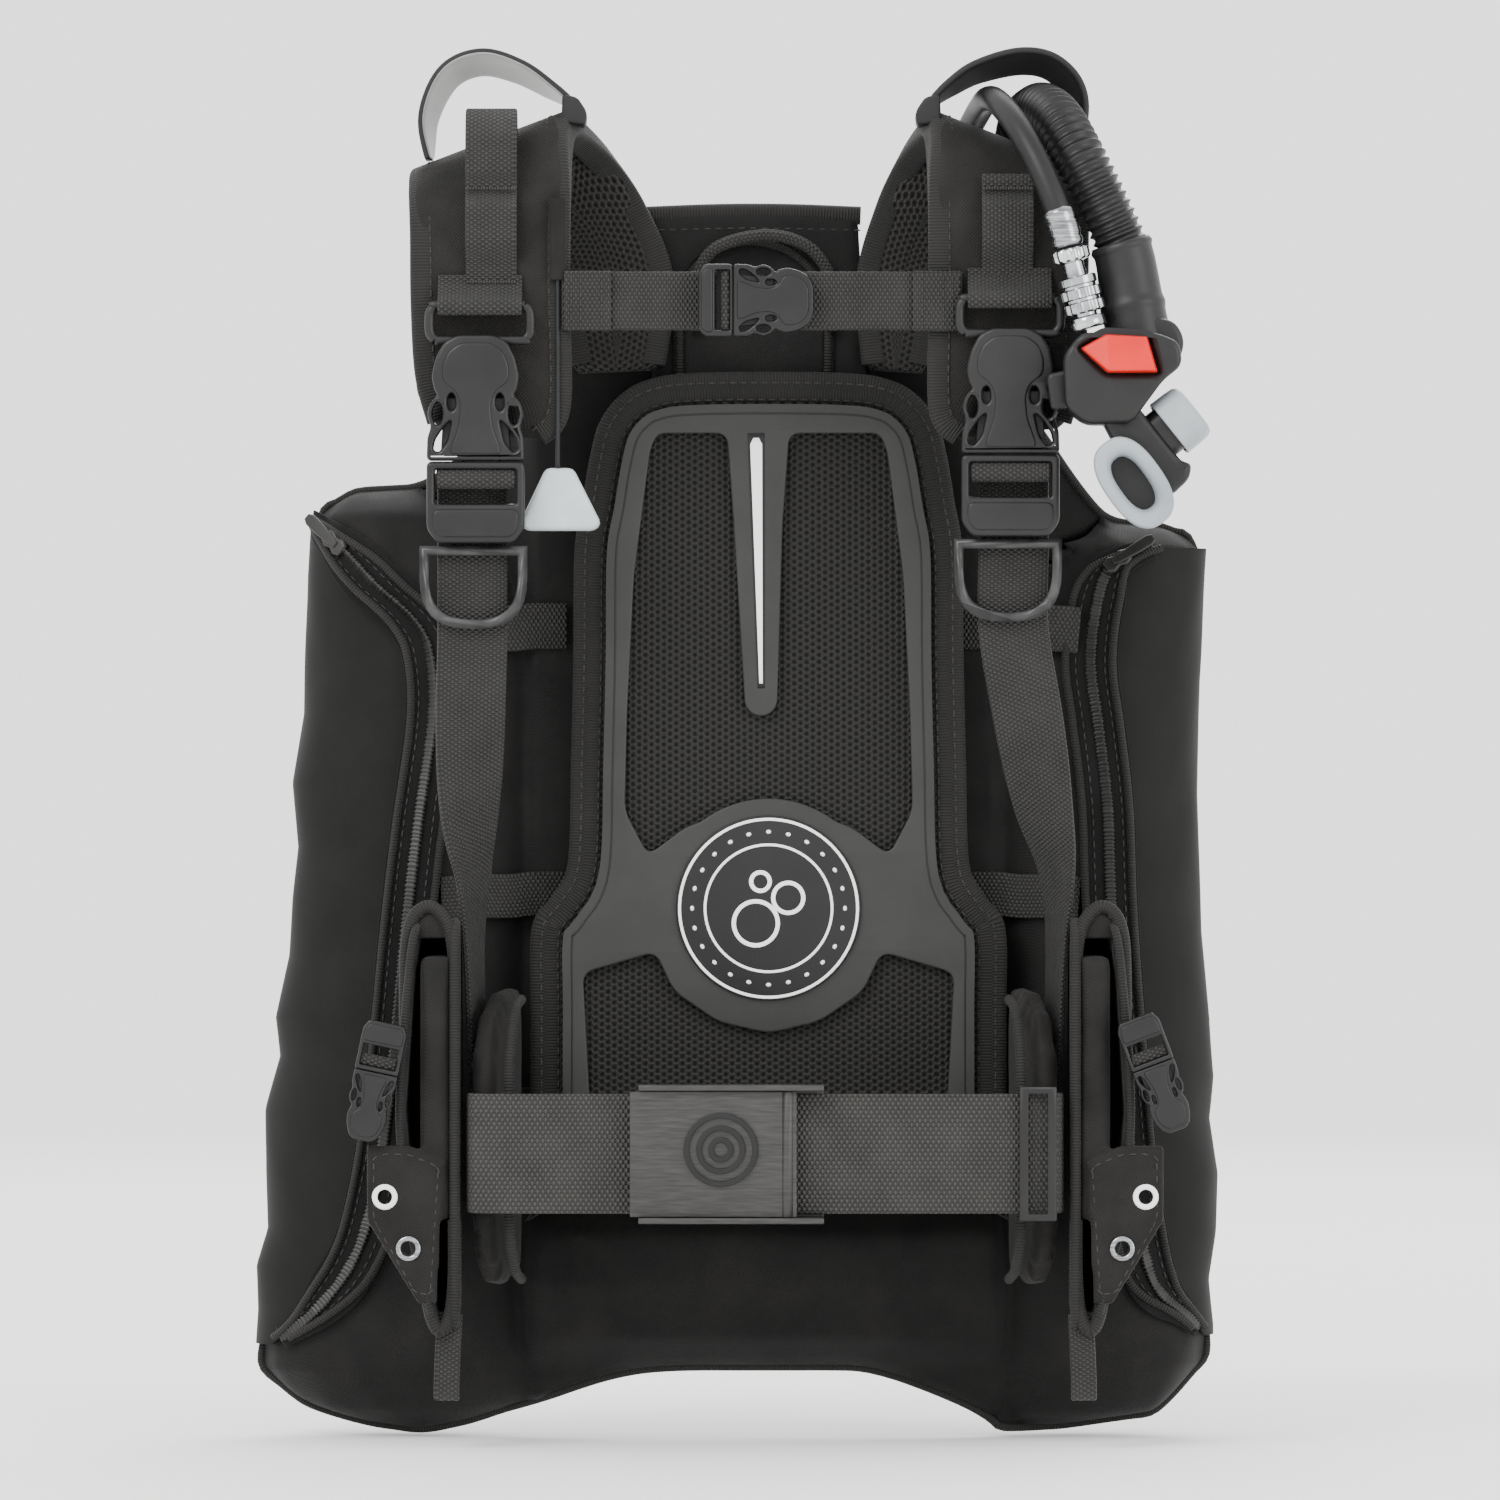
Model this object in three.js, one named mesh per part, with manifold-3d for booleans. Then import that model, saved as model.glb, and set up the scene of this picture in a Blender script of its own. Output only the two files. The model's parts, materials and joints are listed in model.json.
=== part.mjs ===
// Back-inflation buoyancy compensator vest, in millimetres.
// +Z is up, the wearer's front faces -Y, "left" is at -X, and the origin is the middle of the
// rear face of the cylinder seat.
import * as THREE from "three";
import Module from "manifold-3d";
import { mergeVertices } from "three/addons/utils/BufferGeometryUtils.js";

// ---- driving dimensions ----
const clearance = 0.3; // gap between pieces that touch
const runGap = 0.4; // gap round a piece that slides or turns
const webThickness = 2.4; // nylon webbing
const beltWidth = 51; // waist belt webbing
const beltHeight = -167.5; // middle of the waist belt
const beltFront = -112; // middle plane of the belt's front run
const sternumWidth = 25; // chest strap webbing
const sternumHeight = 196; // middle of the chest strap
const shoulderWebWidth = 30; // webbing below the shoulder buckles
const strapThickness = 12; // padded shoulder strap
const strapFront = -88; // middle plane of the straps' front run
const rightStrapShift = 13.5; // the right strap sits this much nearer the middle
const cradleWidth = 70; // seat of the cylinder
const cradleLength = 140;
const cradleThickness = 10;
const bandWidth = 50; // cylinder strap
const bandThickness = 2.6;
const tankRadius = 92; // cylinder that the strap goes round
const cellSheet = 4; // flat middle of the air cell
const plateThickness = 5; // moulded backplate
const plateWidth = 160;
const plateTop = 156;
const plateBottom = -160;
const padThickness = 17; // back pad cushion
const padMiddle = 1.5; // the pad's middle, beside the seat's
const frameThickness = 4; // moulded frame on the pad
const badgeRadius = 40;
const badgeThickness = 1.5;
const panelOffset = 1.5; // side panel off the air cell
const panelThickness = 2.5;
const cellMiddle = 8; // middle plane of the side lobes
const cellDepth = 35; // half depth of the side lobes
const archThickness = 3; // springy bands over the shoulders
const archWidth = 24;
const hoseRadius = 11.5; // corrugated hose
const lpHoseRadius = 5.5;
const cordRadius = 1;
const pocketWall = 3;
const pocketFront = -106; // foremost edge of the weight pockets
const pocketInner = 131; // inner face of the weight pockets
const camThickness = 2.5;

// ---- planes worked out from the layers, from the seat forwards ----
const cradleFront = -cradleThickness;
const cellBack = cradleFront - clearance;
const cellFront = cellBack - cellSheet;
const plateBack = cellFront - clearance;
const plateFront = plateBack - plateThickness;
const padBack = plateFront - clearance;
const padFront = padBack - padThickness;
const frameBack = padFront - clearance;
const frameFront = frameBack - frameThickness;
const strapFace = strapFront - strapThickness / 2;
const webMiddle = strapFace - clearance - webThickness / 2;
const webFace = webMiddle - webThickness / 2;
const beltFace = beltFront - webThickness / 2;
const beltRear = beltFront + webThickness / 2;

const wasm = await Module();
wasm.setup();
const vest = new THREE.Group();

// ---- helpers ----
function finish(color, roughness, metalness = 0) {
  return new THREE.MeshStandardMaterial({ color, roughness, metalness });
}
const nylon = () => finish(0x2b2a29, 0.85);
const webbing = () => finish(0x3c3c3c, 0.8);
const moulded = () => finish(0x343434, 0.5);
const steel = () => finish(0x8a8c8e, 0.3, 1);

function add(name, geometry, material, parent = vest) {
  const mesh = new THREE.Mesh(geometry, material);
  mesh.name = name;
  parent.add(mesh);
  return mesh;
}

function toSolid(geometry) {
  const bare = geometry.clone();
  bare.deleteAttribute("normal");
  bare.deleteAttribute("uv");
  const merged = mergeVertices(bare, 1e-4);
  return new wasm.Manifold(new wasm.Mesh({
    numProp: 3,
    vertProperties: Float32Array.from(merged.attributes.position.array),
    triVerts: Uint32Array.from(merged.index.array),
  }));
}

function toGeometry(solid) {
  const mesh = solid.getMesh();
  const geometry = new THREE.BufferGeometry();
  geometry.setAttribute("position", new THREE.BufferAttribute(mesh.vertProperties, 3));
  geometry.setIndex(new THREE.BufferAttribute(mesh.triVerts, 1));
  return geometry;
}

function cut(geometry, ...tools) {
  return toGeometry(tools.reduce((solid, tool) => solid.subtract(toSolid(tool)), toSolid(geometry)));
}

function join(geometry, ...others) {
  return toGeometry(others.reduce((solid, other) => solid.add(toSolid(other)), toSolid(geometry)));
}

// box between two corners
function block(x0, x1, y0, y1, z0, z1) {
  const box = new THREE.BoxGeometry(Math.abs(x1 - x0), Math.abs(y1 - y0), Math.abs(z1 - z0));
  return box.translate((x0 + x1) / 2, (y0 + y1) / 2, (z0 + z1) / 2);
}

// cylinder along Y or Z
function rod(axis, radius, from, to, a, b, sides = 20) {
  const geometry = new THREE.CylinderGeometry(radius, radius, Math.abs(to - from), sides);
  if (axis === "z") {
    return geometry.rotateX(Math.PI / 2).translate(a, b, (from + to) / 2);
  }
  return geometry.translate(a, (from + to) / 2, b);
}

// outline through [x, z] points, turned anticlockwise so that any hole in it is cut the right way
function outline(points) {
  const corners = points.map(([x, z]) => new THREE.Vector2(x, z));
  return new THREE.Shape(THREE.ShapeUtils.isClockWise(corners) ? corners.reverse() : corners);
}

// plate with an outline in X and Z, from its rear plane forwards
function plate(shape, rear, thickness) {
  const depth = { depth: thickness, bevelEnabled: false, curveSegments: 10 };
  return new THREE.ExtrudeGeometry(shape, depth).rotateX(Math.PI / 2).translate(0, rear, 0);
}

// closed skin over a row of rings with the same even number of points
function loft(rings, closed = false) {
  const count = rings[0].length;
  const positions = rings.flat().flatMap((p) => [p.x, p.y, p.z]);
  const faces = [];
  const spans = closed ? rings.length : rings.length - 1;
  for (let i = 0; i < spans; i += 1) {
    const next = (i + 1) % rings.length;
    for (let j = 0; j < count; j += 1) {
      const k = (j + 1) % count;
      faces.push(i * count + j, next * count + j, next * count + k);
      faces.push(i * count + j, next * count + k, i * count + k);
    }
  }
  if (!closed) {
    const last = (rings.length - 1) * count;
    for (let j = 0; j < count / 2 - 1; j += 1) {
      const [a, b, c, d] = [j, j + 1, count - 2 - j, count - 1 - j];
      faces.push(a, b, c, a, c, d);
      faces.push(last + a, last + c, last + b, last + a, last + d, last + c);
    }
  }
  const geometry = new THREE.BufferGeometry();
  geometry.setAttribute("position", new THREE.Float32BufferAttribute(positions, 3));
  geometry.setIndex(volume(positions, faces) < 0 ? faces.reverse() : faces);
  return geometry;
}

function volume(positions, faces) {
  const at = (i) => new THREE.Vector3().fromArray(positions, 3 * i);
  let sum = 0;
  for (let i = 0; i < faces.length; i += 3) {
    sum += at(faces[i]).dot(at(faces[i + 1]).cross(at(faces[i + 2])));
  }
  return sum;
}

// flat band between two edges: each section is [edge point, other edge point]
function band(sections, thickness, closed = false) {
  const pairs = sections.map(([a, b]) => [new THREE.Vector3(...a), new THREE.Vector3(...b)]);
  const middles = pairs.map(([a, b]) => a.clone().add(b).multiplyScalar(0.5));
  const count = pairs.length;
  return loft(pairs.map(([a, b], i) => {
    const before = middles[closed ? (i + count - 1) % count : Math.max(i - 1, 0)];
    const after = middles[closed ? (i + 1) % count : Math.min(i + 1, count - 1)];
    const across = b.clone().sub(a);
    const half = after.clone().sub(before).cross(across).setLength(thickness / 2);
    return [a.clone().add(half), b.clone().add(half), b.clone().sub(half), a.clone().sub(half)];
  }), closed);
}

// webbing on edge: a route in X and Y, the width up Z
function uprightBand(route, middle, width, thickness, closed = false) {
  const sections = route.map(([x, y]) => [[x, y, middle - width / 2], [x, y, middle + width / 2]]);
  return band(sections, thickness, closed);
}

function tube(points, radius, sides, steps) {
  const path = new THREE.CatmullRomCurve3(points.map((p) => new THREE.Vector3(...p)));
  const section = new THREE.Shape();
  for (let i = 0; i < sides; i += 1) {
    const angle = (2 * Math.PI * i) / sides;
    const spot = [radius * Math.cos(angle), radius * Math.sin(angle)];
    if (i === 0) section.moveTo(...spot);
    else section.lineTo(...spot);
  }
  return new THREE.ExtrudeGeometry(section, { steps, extrudePath: path, bevelEnabled: false });
}

// value at z in a table of [z, value...] rows, straight between the rows
function between(table, z) {
  const low = table.findIndex((row, i) => i === table.length - 2 || table[i + 1][0] <= z);
  const [from, to] = [table[low], table[low + 1]];
  const share = THREE.MathUtils.clamp((z - from[0]) / (to[0] - from[0]), 0, 1);
  return from.map((value, i) => value + (to[i] - value) * share);
}

const sides = [["left", -1], ["right", 1]];
// X of something on a shoulder strap, given its distance out on the left
function strapX(sign, out) {
  const shift = rightStrapShift * THREE.MathUtils.clamp((out - 40) / 44, 0, 1);
  return sign < 0 ? -out : out - shift;
}

// ---- seat, plate and air cell ----
const channel = block(-cradleWidth, cradleWidth, cradleFront - 1, cradleFront + bandThickness + 0.6,
  -bandWidth / 2 - 1, bandWidth / 2 + 1);
const cradleBlock = block(-cradleWidth / 2, cradleWidth / 2, cradleFront, 0,
  -cradleLength / 2, cradleLength / 2);
add("tank_cradle", cut(cradleBlock, channel), finish(0x222222, 0.8));

function backplate() {
  const half = plateWidth / 2;
  const shape = outline([[-half, plateBottom], [half, plateBottom], [half, 80], [55, plateTop],
    [-55, plateTop], [-half, 80]]);
  for (const x of [-50, 50]) {
    for (const z of [-110, 0, 90]) {
      const hole = new THREE.Path();
      hole.absellipse(x, z, 14, 26, 0, 2 * Math.PI);
      shape.holes.push(hole);
    }
  }
  return plate(shape, plateBack, plateThickness);
}
add("backplate", backplate(), finish(0x262626, 0.6));

// rows of z, half width, front plane, rear plane
const centerRows = [[190, 88, cellFront, cellBack], [120, 88, cellFront, cellBack],
  [106, 104.6, cellFront, cellBack], [-183, 104.6, cellFront, cellBack],
  [-193, 98, cellFront, cellBack + 4], [-206, 97.7, -22, 16], [-228, 97.7, -27, 28],
  [-250, 96.6, -22, 22], [-266, 94, -8, 10]];
function centerRing([z, half, front, rear]) {
  const middle = (front + rear) / 2;
  const depth = (rear - front) / 2;
  const fold = half - depth;
  const ring = [];
  for (let i = 0; i < 12; i += 1) {
    const angle = (Math.PI * (i + 0.5)) / 6;
    const x = Math.sign(Math.cos(angle)) * fold + depth * Math.cos(angle);
    ring.push(new THREE.Vector3(x, middle + depth * Math.sin(angle), z));
  }
  return ring;
}
const port = { x: 76, z: 157.5, rise: 3.3 }; // where the corrugated hose enters the air cell
const portBoss = rod("y", hoseRadius, cellBack - 1, cellBack + port.rise, port.x, port.z);
add("air_cell_center", join(loft(centerRows.map(centerRing)), portBoss), nylon());

// rows of z, inner X, outer X, half depth for each lobe, from the top down
const lobeRows = {
  left: [[118, 150, 190, 14], [106, 136, 199, 24], [80, 112, 202, 31], [40, 97, 203, cellDepth],
    [-10, 97, 207, cellDepth], [-60, 97, 208, cellDepth], [-110, 97, 215, cellDepth],
    [-160, 97, 219, cellDepth], [-210, 97, 220, cellDepth], [-245, 97, 224, cellDepth],
    [-266, 97, 222, 32], [-282, 100, 210, 24], [-293, 132, 192, 9]],
  right: [[102, 146, 184, 14], [92, 132, 194, 24], [70, 112, 193, 31], [35, 97, 191, cellDepth],
    [-20, 97, 189, cellDepth], [-75, 97, 191, cellDepth], [-115, 97, 194, cellDepth],
    [-168, 97, 198, cellDepth], [-226, 97, 195, cellDepth], [-250, 97, 197, cellDepth],
    [-270, 97, 192, 31], [-284, 100, 186, 23], [-292, 118, 168, 9]],
};
// point of a lobe's section: the angle runs from the front over the outer side to the rear
function lobePoint(side, sign, z, angle, offset) {
  const [, inner, outer, depth] = between(lobeRows[side], z);
  const half = (outer - inner - panelOffset - panelThickness) / 2;
  const x = inner + half + (half + offset) * Math.sin(angle);
  return new THREE.Vector3(sign * x, cellMiddle - (depth + offset) * Math.cos(angle), z);
}
// rows of z and X of the zip in front of each lobe
const zipRows = {
  left: [[104, 196], [91, 184], [75, 166], [62, 151], [48, 144], [20, 144], [-26, 152], [-70, 156],
    [-150, 164], [-196, 172], [-220, 181], [-240, 198], [-254, 216]],
  right: [[92, 166], [84, 152], [60, 143], [40, 141], [16, 146], [-20, 149], [-70, 150],
    [-150, 156], [-196, 162], [-226, 168], [-240, 184], [-250, 192]],
};
function zipAngle(side, z) {
  const [, inner, outer] = between(lobeRows[side], z);
  const half = (outer - inner - panelOffset - panelThickness) / 2;
  const [, x] = between(zipRows[side], z);
  return Math.asin(THREE.MathUtils.clamp((x - inner - half) / half, -0.6, 0.93));
}
const rearAngle = 2.5;
for (const [side, sign] of sides) {
  const lobe = lobeRows[side].map(([z]) => {
    const ring = [];
    for (let i = 0; i < 18; i += 1) {
      ring.push(lobePoint(side, sign, z, (2 * Math.PI * i) / 18, 0));
    }
    return ring;
  });
  add(`air_cell_${side}`, loft(lobe), nylon());
  const zips = zipRows[side];
  const [panelTop, panelBottom] = [zips[0][0], zips[zips.length - 1][0]];
  const heights = [...zips, ...lobeRows[side]].map(([z]) => z)
    .filter((z, i, all) => z <= panelTop && z >= panelBottom && all.indexOf(z) === i);
  const panel = heights.sort((a, b) => b - a).map((z) => {
    const [start, steps] = [zipAngle(side, z), 11];
    const arc = (offset) => Array.from({ length: steps + 1 }, (_, i) =>
      lobePoint(side, sign, z, start + ((rearAngle - start) * i) / steps, offset));
    return [...arc(panelOffset + panelThickness), ...arc(panelOffset).reverse()];
  });
  add(`side_panel_${side}`, loft(panel), finish(0x1d1d1c, 0.7));
}

// ---- back pad ----
const padHalf = [[166, 52], [151, 72], [90, 83], [-45, 85], [-73, 102], [-190, 102]];
function padShape(inset) {
  const right = padHalf.map(([z, half], i) => {
    const lift = i === 0 ? -inset : i === padHalf.length - 1 ? inset : 0;
    return [padMiddle + half - inset, z + lift];
  });
  const left = right.map(([x, z]) => [2 * padMiddle - x, z]).reverse();
  return outline([...right, ...left]);
}
add("back_pad", plate(padShape(0), padBack, padThickness), nylon());

function padFrame() {
  const shape = padShape(13);
  const tongue = (sign) => [[8, 141], [46, 141], [50, 136], [60, 20], [61, -20], [50, -40],
    [34, -26], [5, -13], [5, 26], [8, 40]].map(([x, z]) => [padMiddle + sign * x, z]);
  shape.holes.push(new THREE.Path(tongue(-1).map(([x, z]) => new THREE.Vector2(x, z))));
  shape.holes.push(new THREE.Path(tongue(1).map(([x, z]) => new THREE.Vector2(x, z))));
  const lower = [[-80, -92], [-48, -82], [-38, -104], [0, -118], [38, -104], [48, -82], [80, -92],
    [76, -168], [-76, -168]];
  shape.holes.push(new THREE.Path(lower.map(([x, z]) => new THREE.Vector2(padMiddle + x, z))));
  return plate(shape, frameBack, frameThickness);
}
add("back_pad_frame", padFrame(), finish(0x474746, 0.45));
const badgeBack = frameFront - clearance;
add("badge", rod("y", badgeRadius, badgeBack, badgeBack - badgeThickness, padMiddle, -64, 40),
  finish(0x2e2e2e, 0.5));

// ---- yoke and handle ----
const yokeBottom = plateTop + clearance + 0.7;
add("yoke_panel", plate(outline([[-50, yokeBottom], [45, yokeBottom], [41, 239], [-52, 239]]),
  plateBack, plateThickness), nylon());
const handleRadius = 3;
const handleRoot = plateFront - clearance - handleRadius;
add("grab_handle", tube([[-30, handleRoot, 186], [-31, handleRoot - 2, 204], [-22, -29, 221],
  [1, -30, 227], [20, -29, 221], [30, handleRoot - 2, 204], [29, handleRoot, 186]],
handleRadius, 10, 26), webbing());

// ---- shoulder straps ----
// rows of inner edge and outer edge: distance out, Y, Z
const strapRows = [
  [[44, -26, 168], [84, -26, 168]], [[40, -26, 207], [92, -26, 207]],
  [[52, -27, 239], [105, -27, 230]], [[66, -31, 260], [133, -33, 238]],
  [[77, -44, 271], [146, -46, 245]], [[82, -60, 274], [150, -60, 248]],
  [[84, -75, 267], [151, -75, 242]], [[84, -86, 246], [151, -86, 226]],
  [[84, strapFront, 200], [151, strapFront, 196]], [[84, strapFront, 150], [149, strapFront, 166]],
  [[94, strapFront, 137], [143, strapFront, 142]],
];
const archRoutes = {
  left: [[-144.5, 258], [-144.5, 277], [-136, 294], [-121.7, 300], [-105.8, 296], [-92, 288],
    [-83, 282.3]],
  right: [[71, 282.3], [79.6, 289], [91.6, 296], [110.5, 300.5], [124.7, 297], [134, 284],
    [134, 258.5]],
};
const archMiddle = -60;
// gear loops: a daisy chain in Y and Z, standing off the strap's face
const lowerLoop = [[webMiddle, 208], [webMiddle, 216], [-101, 221], [-101, 236], [webMiddle, 241],
  [webMiddle, 247]];
const upperLoop = [[-100.5, 253], [-98.5, 268], [-92, 277], [-84, 278], [-78, 272], [-76, 266.8]];
const gearRoutes = { left: [...lowerLoop, ...upperLoop], right: lowerLoop };
const gearWidth = 22;
const strapMiddle = 117;
for (const [side, sign] of sides) {
  const rows = strapRows.map((row) => row.map(([out, y, z]) => [strapX(sign, out), y, z]));
  add(`shoulder_pad_${side}`, band(rows, strapThickness), nylon());
  const arch = archRoutes[side].map(([x, z]) => [[x, archMiddle - archWidth / 2, z],
    [x, archMiddle + archWidth / 2, z]]);
  add(`shoulder_arch_${side}`, band(arch, archThickness), finish(0x3a3a3a, 0.6));
  const middle = strapX(sign, strapMiddle);
  const loops = gearRoutes[side].map(([y, z]) => [[middle - gearWidth / 2, y, z],
    [middle + gearWidth / 2, y, z]]);
  add(`gear_loops_${side}`, band(loops, webThickness), webbing());
}

// ---- side-release buckles ----
// the socket opens downwards at z 0 and its face is at -Y; the clip hangs below z 0
const buckleWall = 2.2;
function buckleSocket(width, length, thickness) {
  const half = [[0.5, 0], [0.5, 0.3], [0.4, 0.48], [0.47, 0.7], [0.42, 1]];
  const right = half.map(([x, z]) => [x * width, z * length]);
  const shape = outline([...right, ...right.map(([x, z]) => [-x, z]).reverse()]);
  const slot = block(-0.3 * width, 0.3 * width, -thickness, thickness, 0.84 * length, 0.92 * length);
  const cavityHalf = thickness / 2 - buckleWall;
  const cavity = block(-0.33 * width, 0.33 * width, -cavityHalf, cavityHalf, -1, 0.62 * length);
  const windows = block(-width, width, -cavityHalf, cavityHalf, 0.3 * length, 0.55 * length);
  return cut(plate(shape, thickness / 2, thickness), cavity, slot, windows);
}

function buckleClip(width, height, thickness, reach) {
  const rail = 0.14 * height;
  const top = -clearance;
  const frame = cut(block(-width / 2, width / 2, -thickness / 2, thickness / 2, top - height, top),
    block(-width / 2 + 3.5, width / 2 - 3.5, -thickness, thickness, top - 0.52 * height, top - rail));
  const tongueHalf = thickness / 2 - buckleWall - runGap;
  const arms = [[-0.28, -0.17], [-0.06, 0.06], [0.17, 0.28]].map(([a, b]) =>
    block(a * width, b * width, -tongueHalf, tongueHalf, top - rail / 2, reach));
  return join(frame, ...arms);
}

// group that places a buckle and turns it about Y
function buckleAt(x, y, z, turn) {
  const group = new THREE.Group();
  group.position.set(x, y, z);
  group.rotation.y = turn;
  vest.add(group);
  return group;
}

const buckleThickness = 11;
const buckleFaceY = webFace - clearance - buckleThickness / 2;
const shoulderBuckle = { width: 38, length: 54, clipHeight: 35, mouth: 127.5 };
const socketPlaces = { left: [-123.5, 0], right: [104.5, 3] };
for (const [side] of sides) {
  const [x, lift] = socketPlaces[side];
  const group = buckleAt(x, buckleFaceY, shoulderBuckle.mouth + lift, 0);
  const { width, length, clipHeight } = shoulderBuckle;
  add(`shoulder_buckle_socket_${side}`, buckleSocket(width, length, buckleThickness), moulded(), group);
  const clip = buckleClip(width + 4, clipHeight, buckleThickness, 0.56 * length);
  add(`shoulder_buckle_clip_${side}`, clip, moulded(), group);
}

// ---- D-rings and lower shoulder webbing ----
const dRing = { half: 23, top: 91.3, straight: 70, bottom: 56, bar: 4, depth: 4, gap: 0.9 };
function dShape(half, top, straight, bottom) {
  const shape = new THREE.Shape();
  shape.moveTo(-half, top);
  shape.lineTo(-half, straight + 8);
  shape.bezierCurveTo(-half, bottom + 2, -half * 0.5, bottom, 0, bottom);
  shape.bezierCurveTo(half * 0.5, bottom, half, bottom + 2, half, straight + 8);
  shape.lineTo(half, top);
  return shape;
}
const dRingRear = webFace - dRing.gap; // leaves room for the ring's corner as it swings
// rows of middle X, Y, Z and half the width along X and Y: the webbing turns on edge by the hip
const webHalf = shoulderWebWidth / 2;
const webEnd = [[125, -70, -50, 0.4, -0.8], [125, -67.6, -67, 0.29, -0.83],
  [125, -66, -84, 0.2, -0.85], [122.3, -65.4, -150, 0.18, -0.85]];
const webRoutes = {
  left: [[125, webMiddle, 122, 1, 0], [125, webMiddle, 54, 1, 0], [126, -89, 20, 0.98, -0.1],
    [126.4, -84.4, 0, 0.9, -0.3], [126.5, -79, -20, 0.75, -0.5], [126, -74.3, -35, 0.59, -0.66],
    ...webEnd],
  right: [[106, webMiddle, 124, 1, 0], [106, webMiddle, 56, 1, 0], [112, -89, 20, 0.98, -0.1],
    [115.6, -84.4, 0, 0.9, -0.3], [119, -79, -20, 0.75, -0.5], [122.2, -74.3, -35, 0.59, -0.66],
    ...webEnd],
};
for (const [side, sign] of sides) {
  const [x, lift] = socketPlaces[side];
  const { half, top, straight, bottom, bar, depth } = dRing;
  const ring = dShape(half, top, straight, bottom);
  ring.holes.push(dShape(half - bar, top - bar, straight, bottom + bar));
  add(`d_ring_${side}`, plate(ring, dRingRear, depth).translate(x - 1, 0, lift), steel());
  const web = webRoutes[side].map(([out, y, z, acrossX, acrossY]) => [
    [sign * (out - webHalf * acrossX), y - webHalf * acrossY, z],
    [sign * (out + webHalf * acrossX), y + webHalf * acrossY, z],
  ]);
  add(`shoulder_webbing_${side}`, band(web, webThickness), webbing());
}

// ---- chest strap ----
const chestBuckle = { width: 30, length: 35, clipWidth: 15, thickness: 9, mouth: -13.8 };
const chestY = webFace - clearance - chestBuckle.thickness / 2;
const chestGroup = buckleAt(chestBuckle.mouth, chestY, sternumHeight, Math.PI / 2);
add("sternum_buckle_socket",
  buckleSocket(chestBuckle.width, chestBuckle.length, chestBuckle.thickness), moulded(), chestGroup);
add("sternum_buckle_clip", buckleClip(chestBuckle.width + 1, chestBuckle.clipWidth,
  chestBuckle.thickness, 0.56 * chestBuckle.length), moulded(), chestGroup);
function chestStrap(from, to) {
  return block(from, to, webMiddle - webThickness / 2, webMiddle + webThickness / 2,
    sternumHeight - sternumWidth / 2, sternumHeight + sternumWidth / 2);
}
const chestClipEnd = chestBuckle.mouth - chestBuckle.clipWidth;
const chestSocketEnd = chestBuckle.mouth + chestBuckle.length;
add("sternum_strap_left", chestStrap(-86.8, chestClipEnd + 8), webbing());
add("sternum_strap_right", chestStrap(chestSocketEnd - 8, 84), webbing());

// ---- waist belt and its cam buckle ----
const sideRun = { rearX: 111, rearY: -25, frontX: 126.5, frontY: -99 };
const sideRunAngle = Math.atan2(sideRun.frontX - sideRun.rearX, sideRun.rearY - sideRun.frontY);
const sideRunX = (y) => sideRun.rearX + (sideRun.rearY - y) * Math.tan(sideRunAngle);
const beltEnd = (sign) => [[sign * (plateWidth / 2 + 1), plateBack - plateThickness / 2],
  [sign * 103, plateBack - plateThickness / 2], [sign * sideRun.rearX, sideRun.rearY],
  [sign * sideRun.frontX, sideRun.frontY], [sign * 125, -107], [sign * 119, beltFront]];
const beltFrame = { from: -54, to: 25, rail: 2.5, rise: 11, pinX: 9.5 };
add("waist_belt_left", uprightBand([...beltEnd(-1), [beltFrame.from - clearance, beltFront]],
  beltHeight, beltWidth, webThickness), webbing());
add("waist_belt_right", uprightBand([...beltEnd(1), [beltFrame.from + 12, beltFront]],
  beltHeight, beltWidth, webThickness), webbing());
const railInner = beltWidth / 2 + 1.5;
const frameRear = beltRear + clearance + 1.6;
const railFront = beltFront - beltFrame.rise;
const beltBase = block(beltFrame.from, beltFrame.to, beltRear + clearance, frameRear,
  beltHeight - railInner - beltFrame.rail, beltHeight + railInner + beltFrame.rail);
const beltRails = [-1, 1].map((sign) => block(beltFrame.from, beltFrame.to, railFront, frameRear,
  beltHeight + sign * railInner, beltHeight + sign * (railInner + beltFrame.rail)));
add("belt_buckle_frame", join(beltBase, ...beltRails), finish(0x4c4c4c, 0.45, 0.6));
const camPinY = beltFace - 5.6;
const camHalf = railInner - runGap;
const camFront = camPinY - camThickness / 2;
const camPlate = block(-57.5, beltFrame.pinX + 3.8, camFront, camFront + camThickness,
  beltHeight - camHalf, beltHeight + camHalf);
const camBarrel = rod("z", 2.6, beltHeight - camHalf, beltHeight + camHalf, beltFrame.pinX, camPinY, 12);
add("belt_cam_plate", join(camPlate, camBarrel), finish(0x555555, 0.45, 0.6));
const slider = { middle: 116, width: 16, bar: 4, thickness: 3.2 };
const sliderRear = beltFace - clearance;
const sliderHalf = beltWidth / 2 + 3;
const sliderHole = (a, b) => block(a, b, sliderRear - 9, sliderRear + 9,
  beltHeight - beltWidth / 2, beltHeight + beltWidth / 2);
add("belt_slider", cut(block(slider.middle - slider.width / 2, slider.middle + slider.width / 2,
  sliderRear - slider.thickness, sliderRear, beltHeight - sliderHalf, beltHeight + sliderHalf),
sliderHole(slider.middle - slider.width / 2 + slider.bar, slider.middle + slider.width / 2 - slider.bar)),
finish(0x3a3a3a, 0.5));

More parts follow.
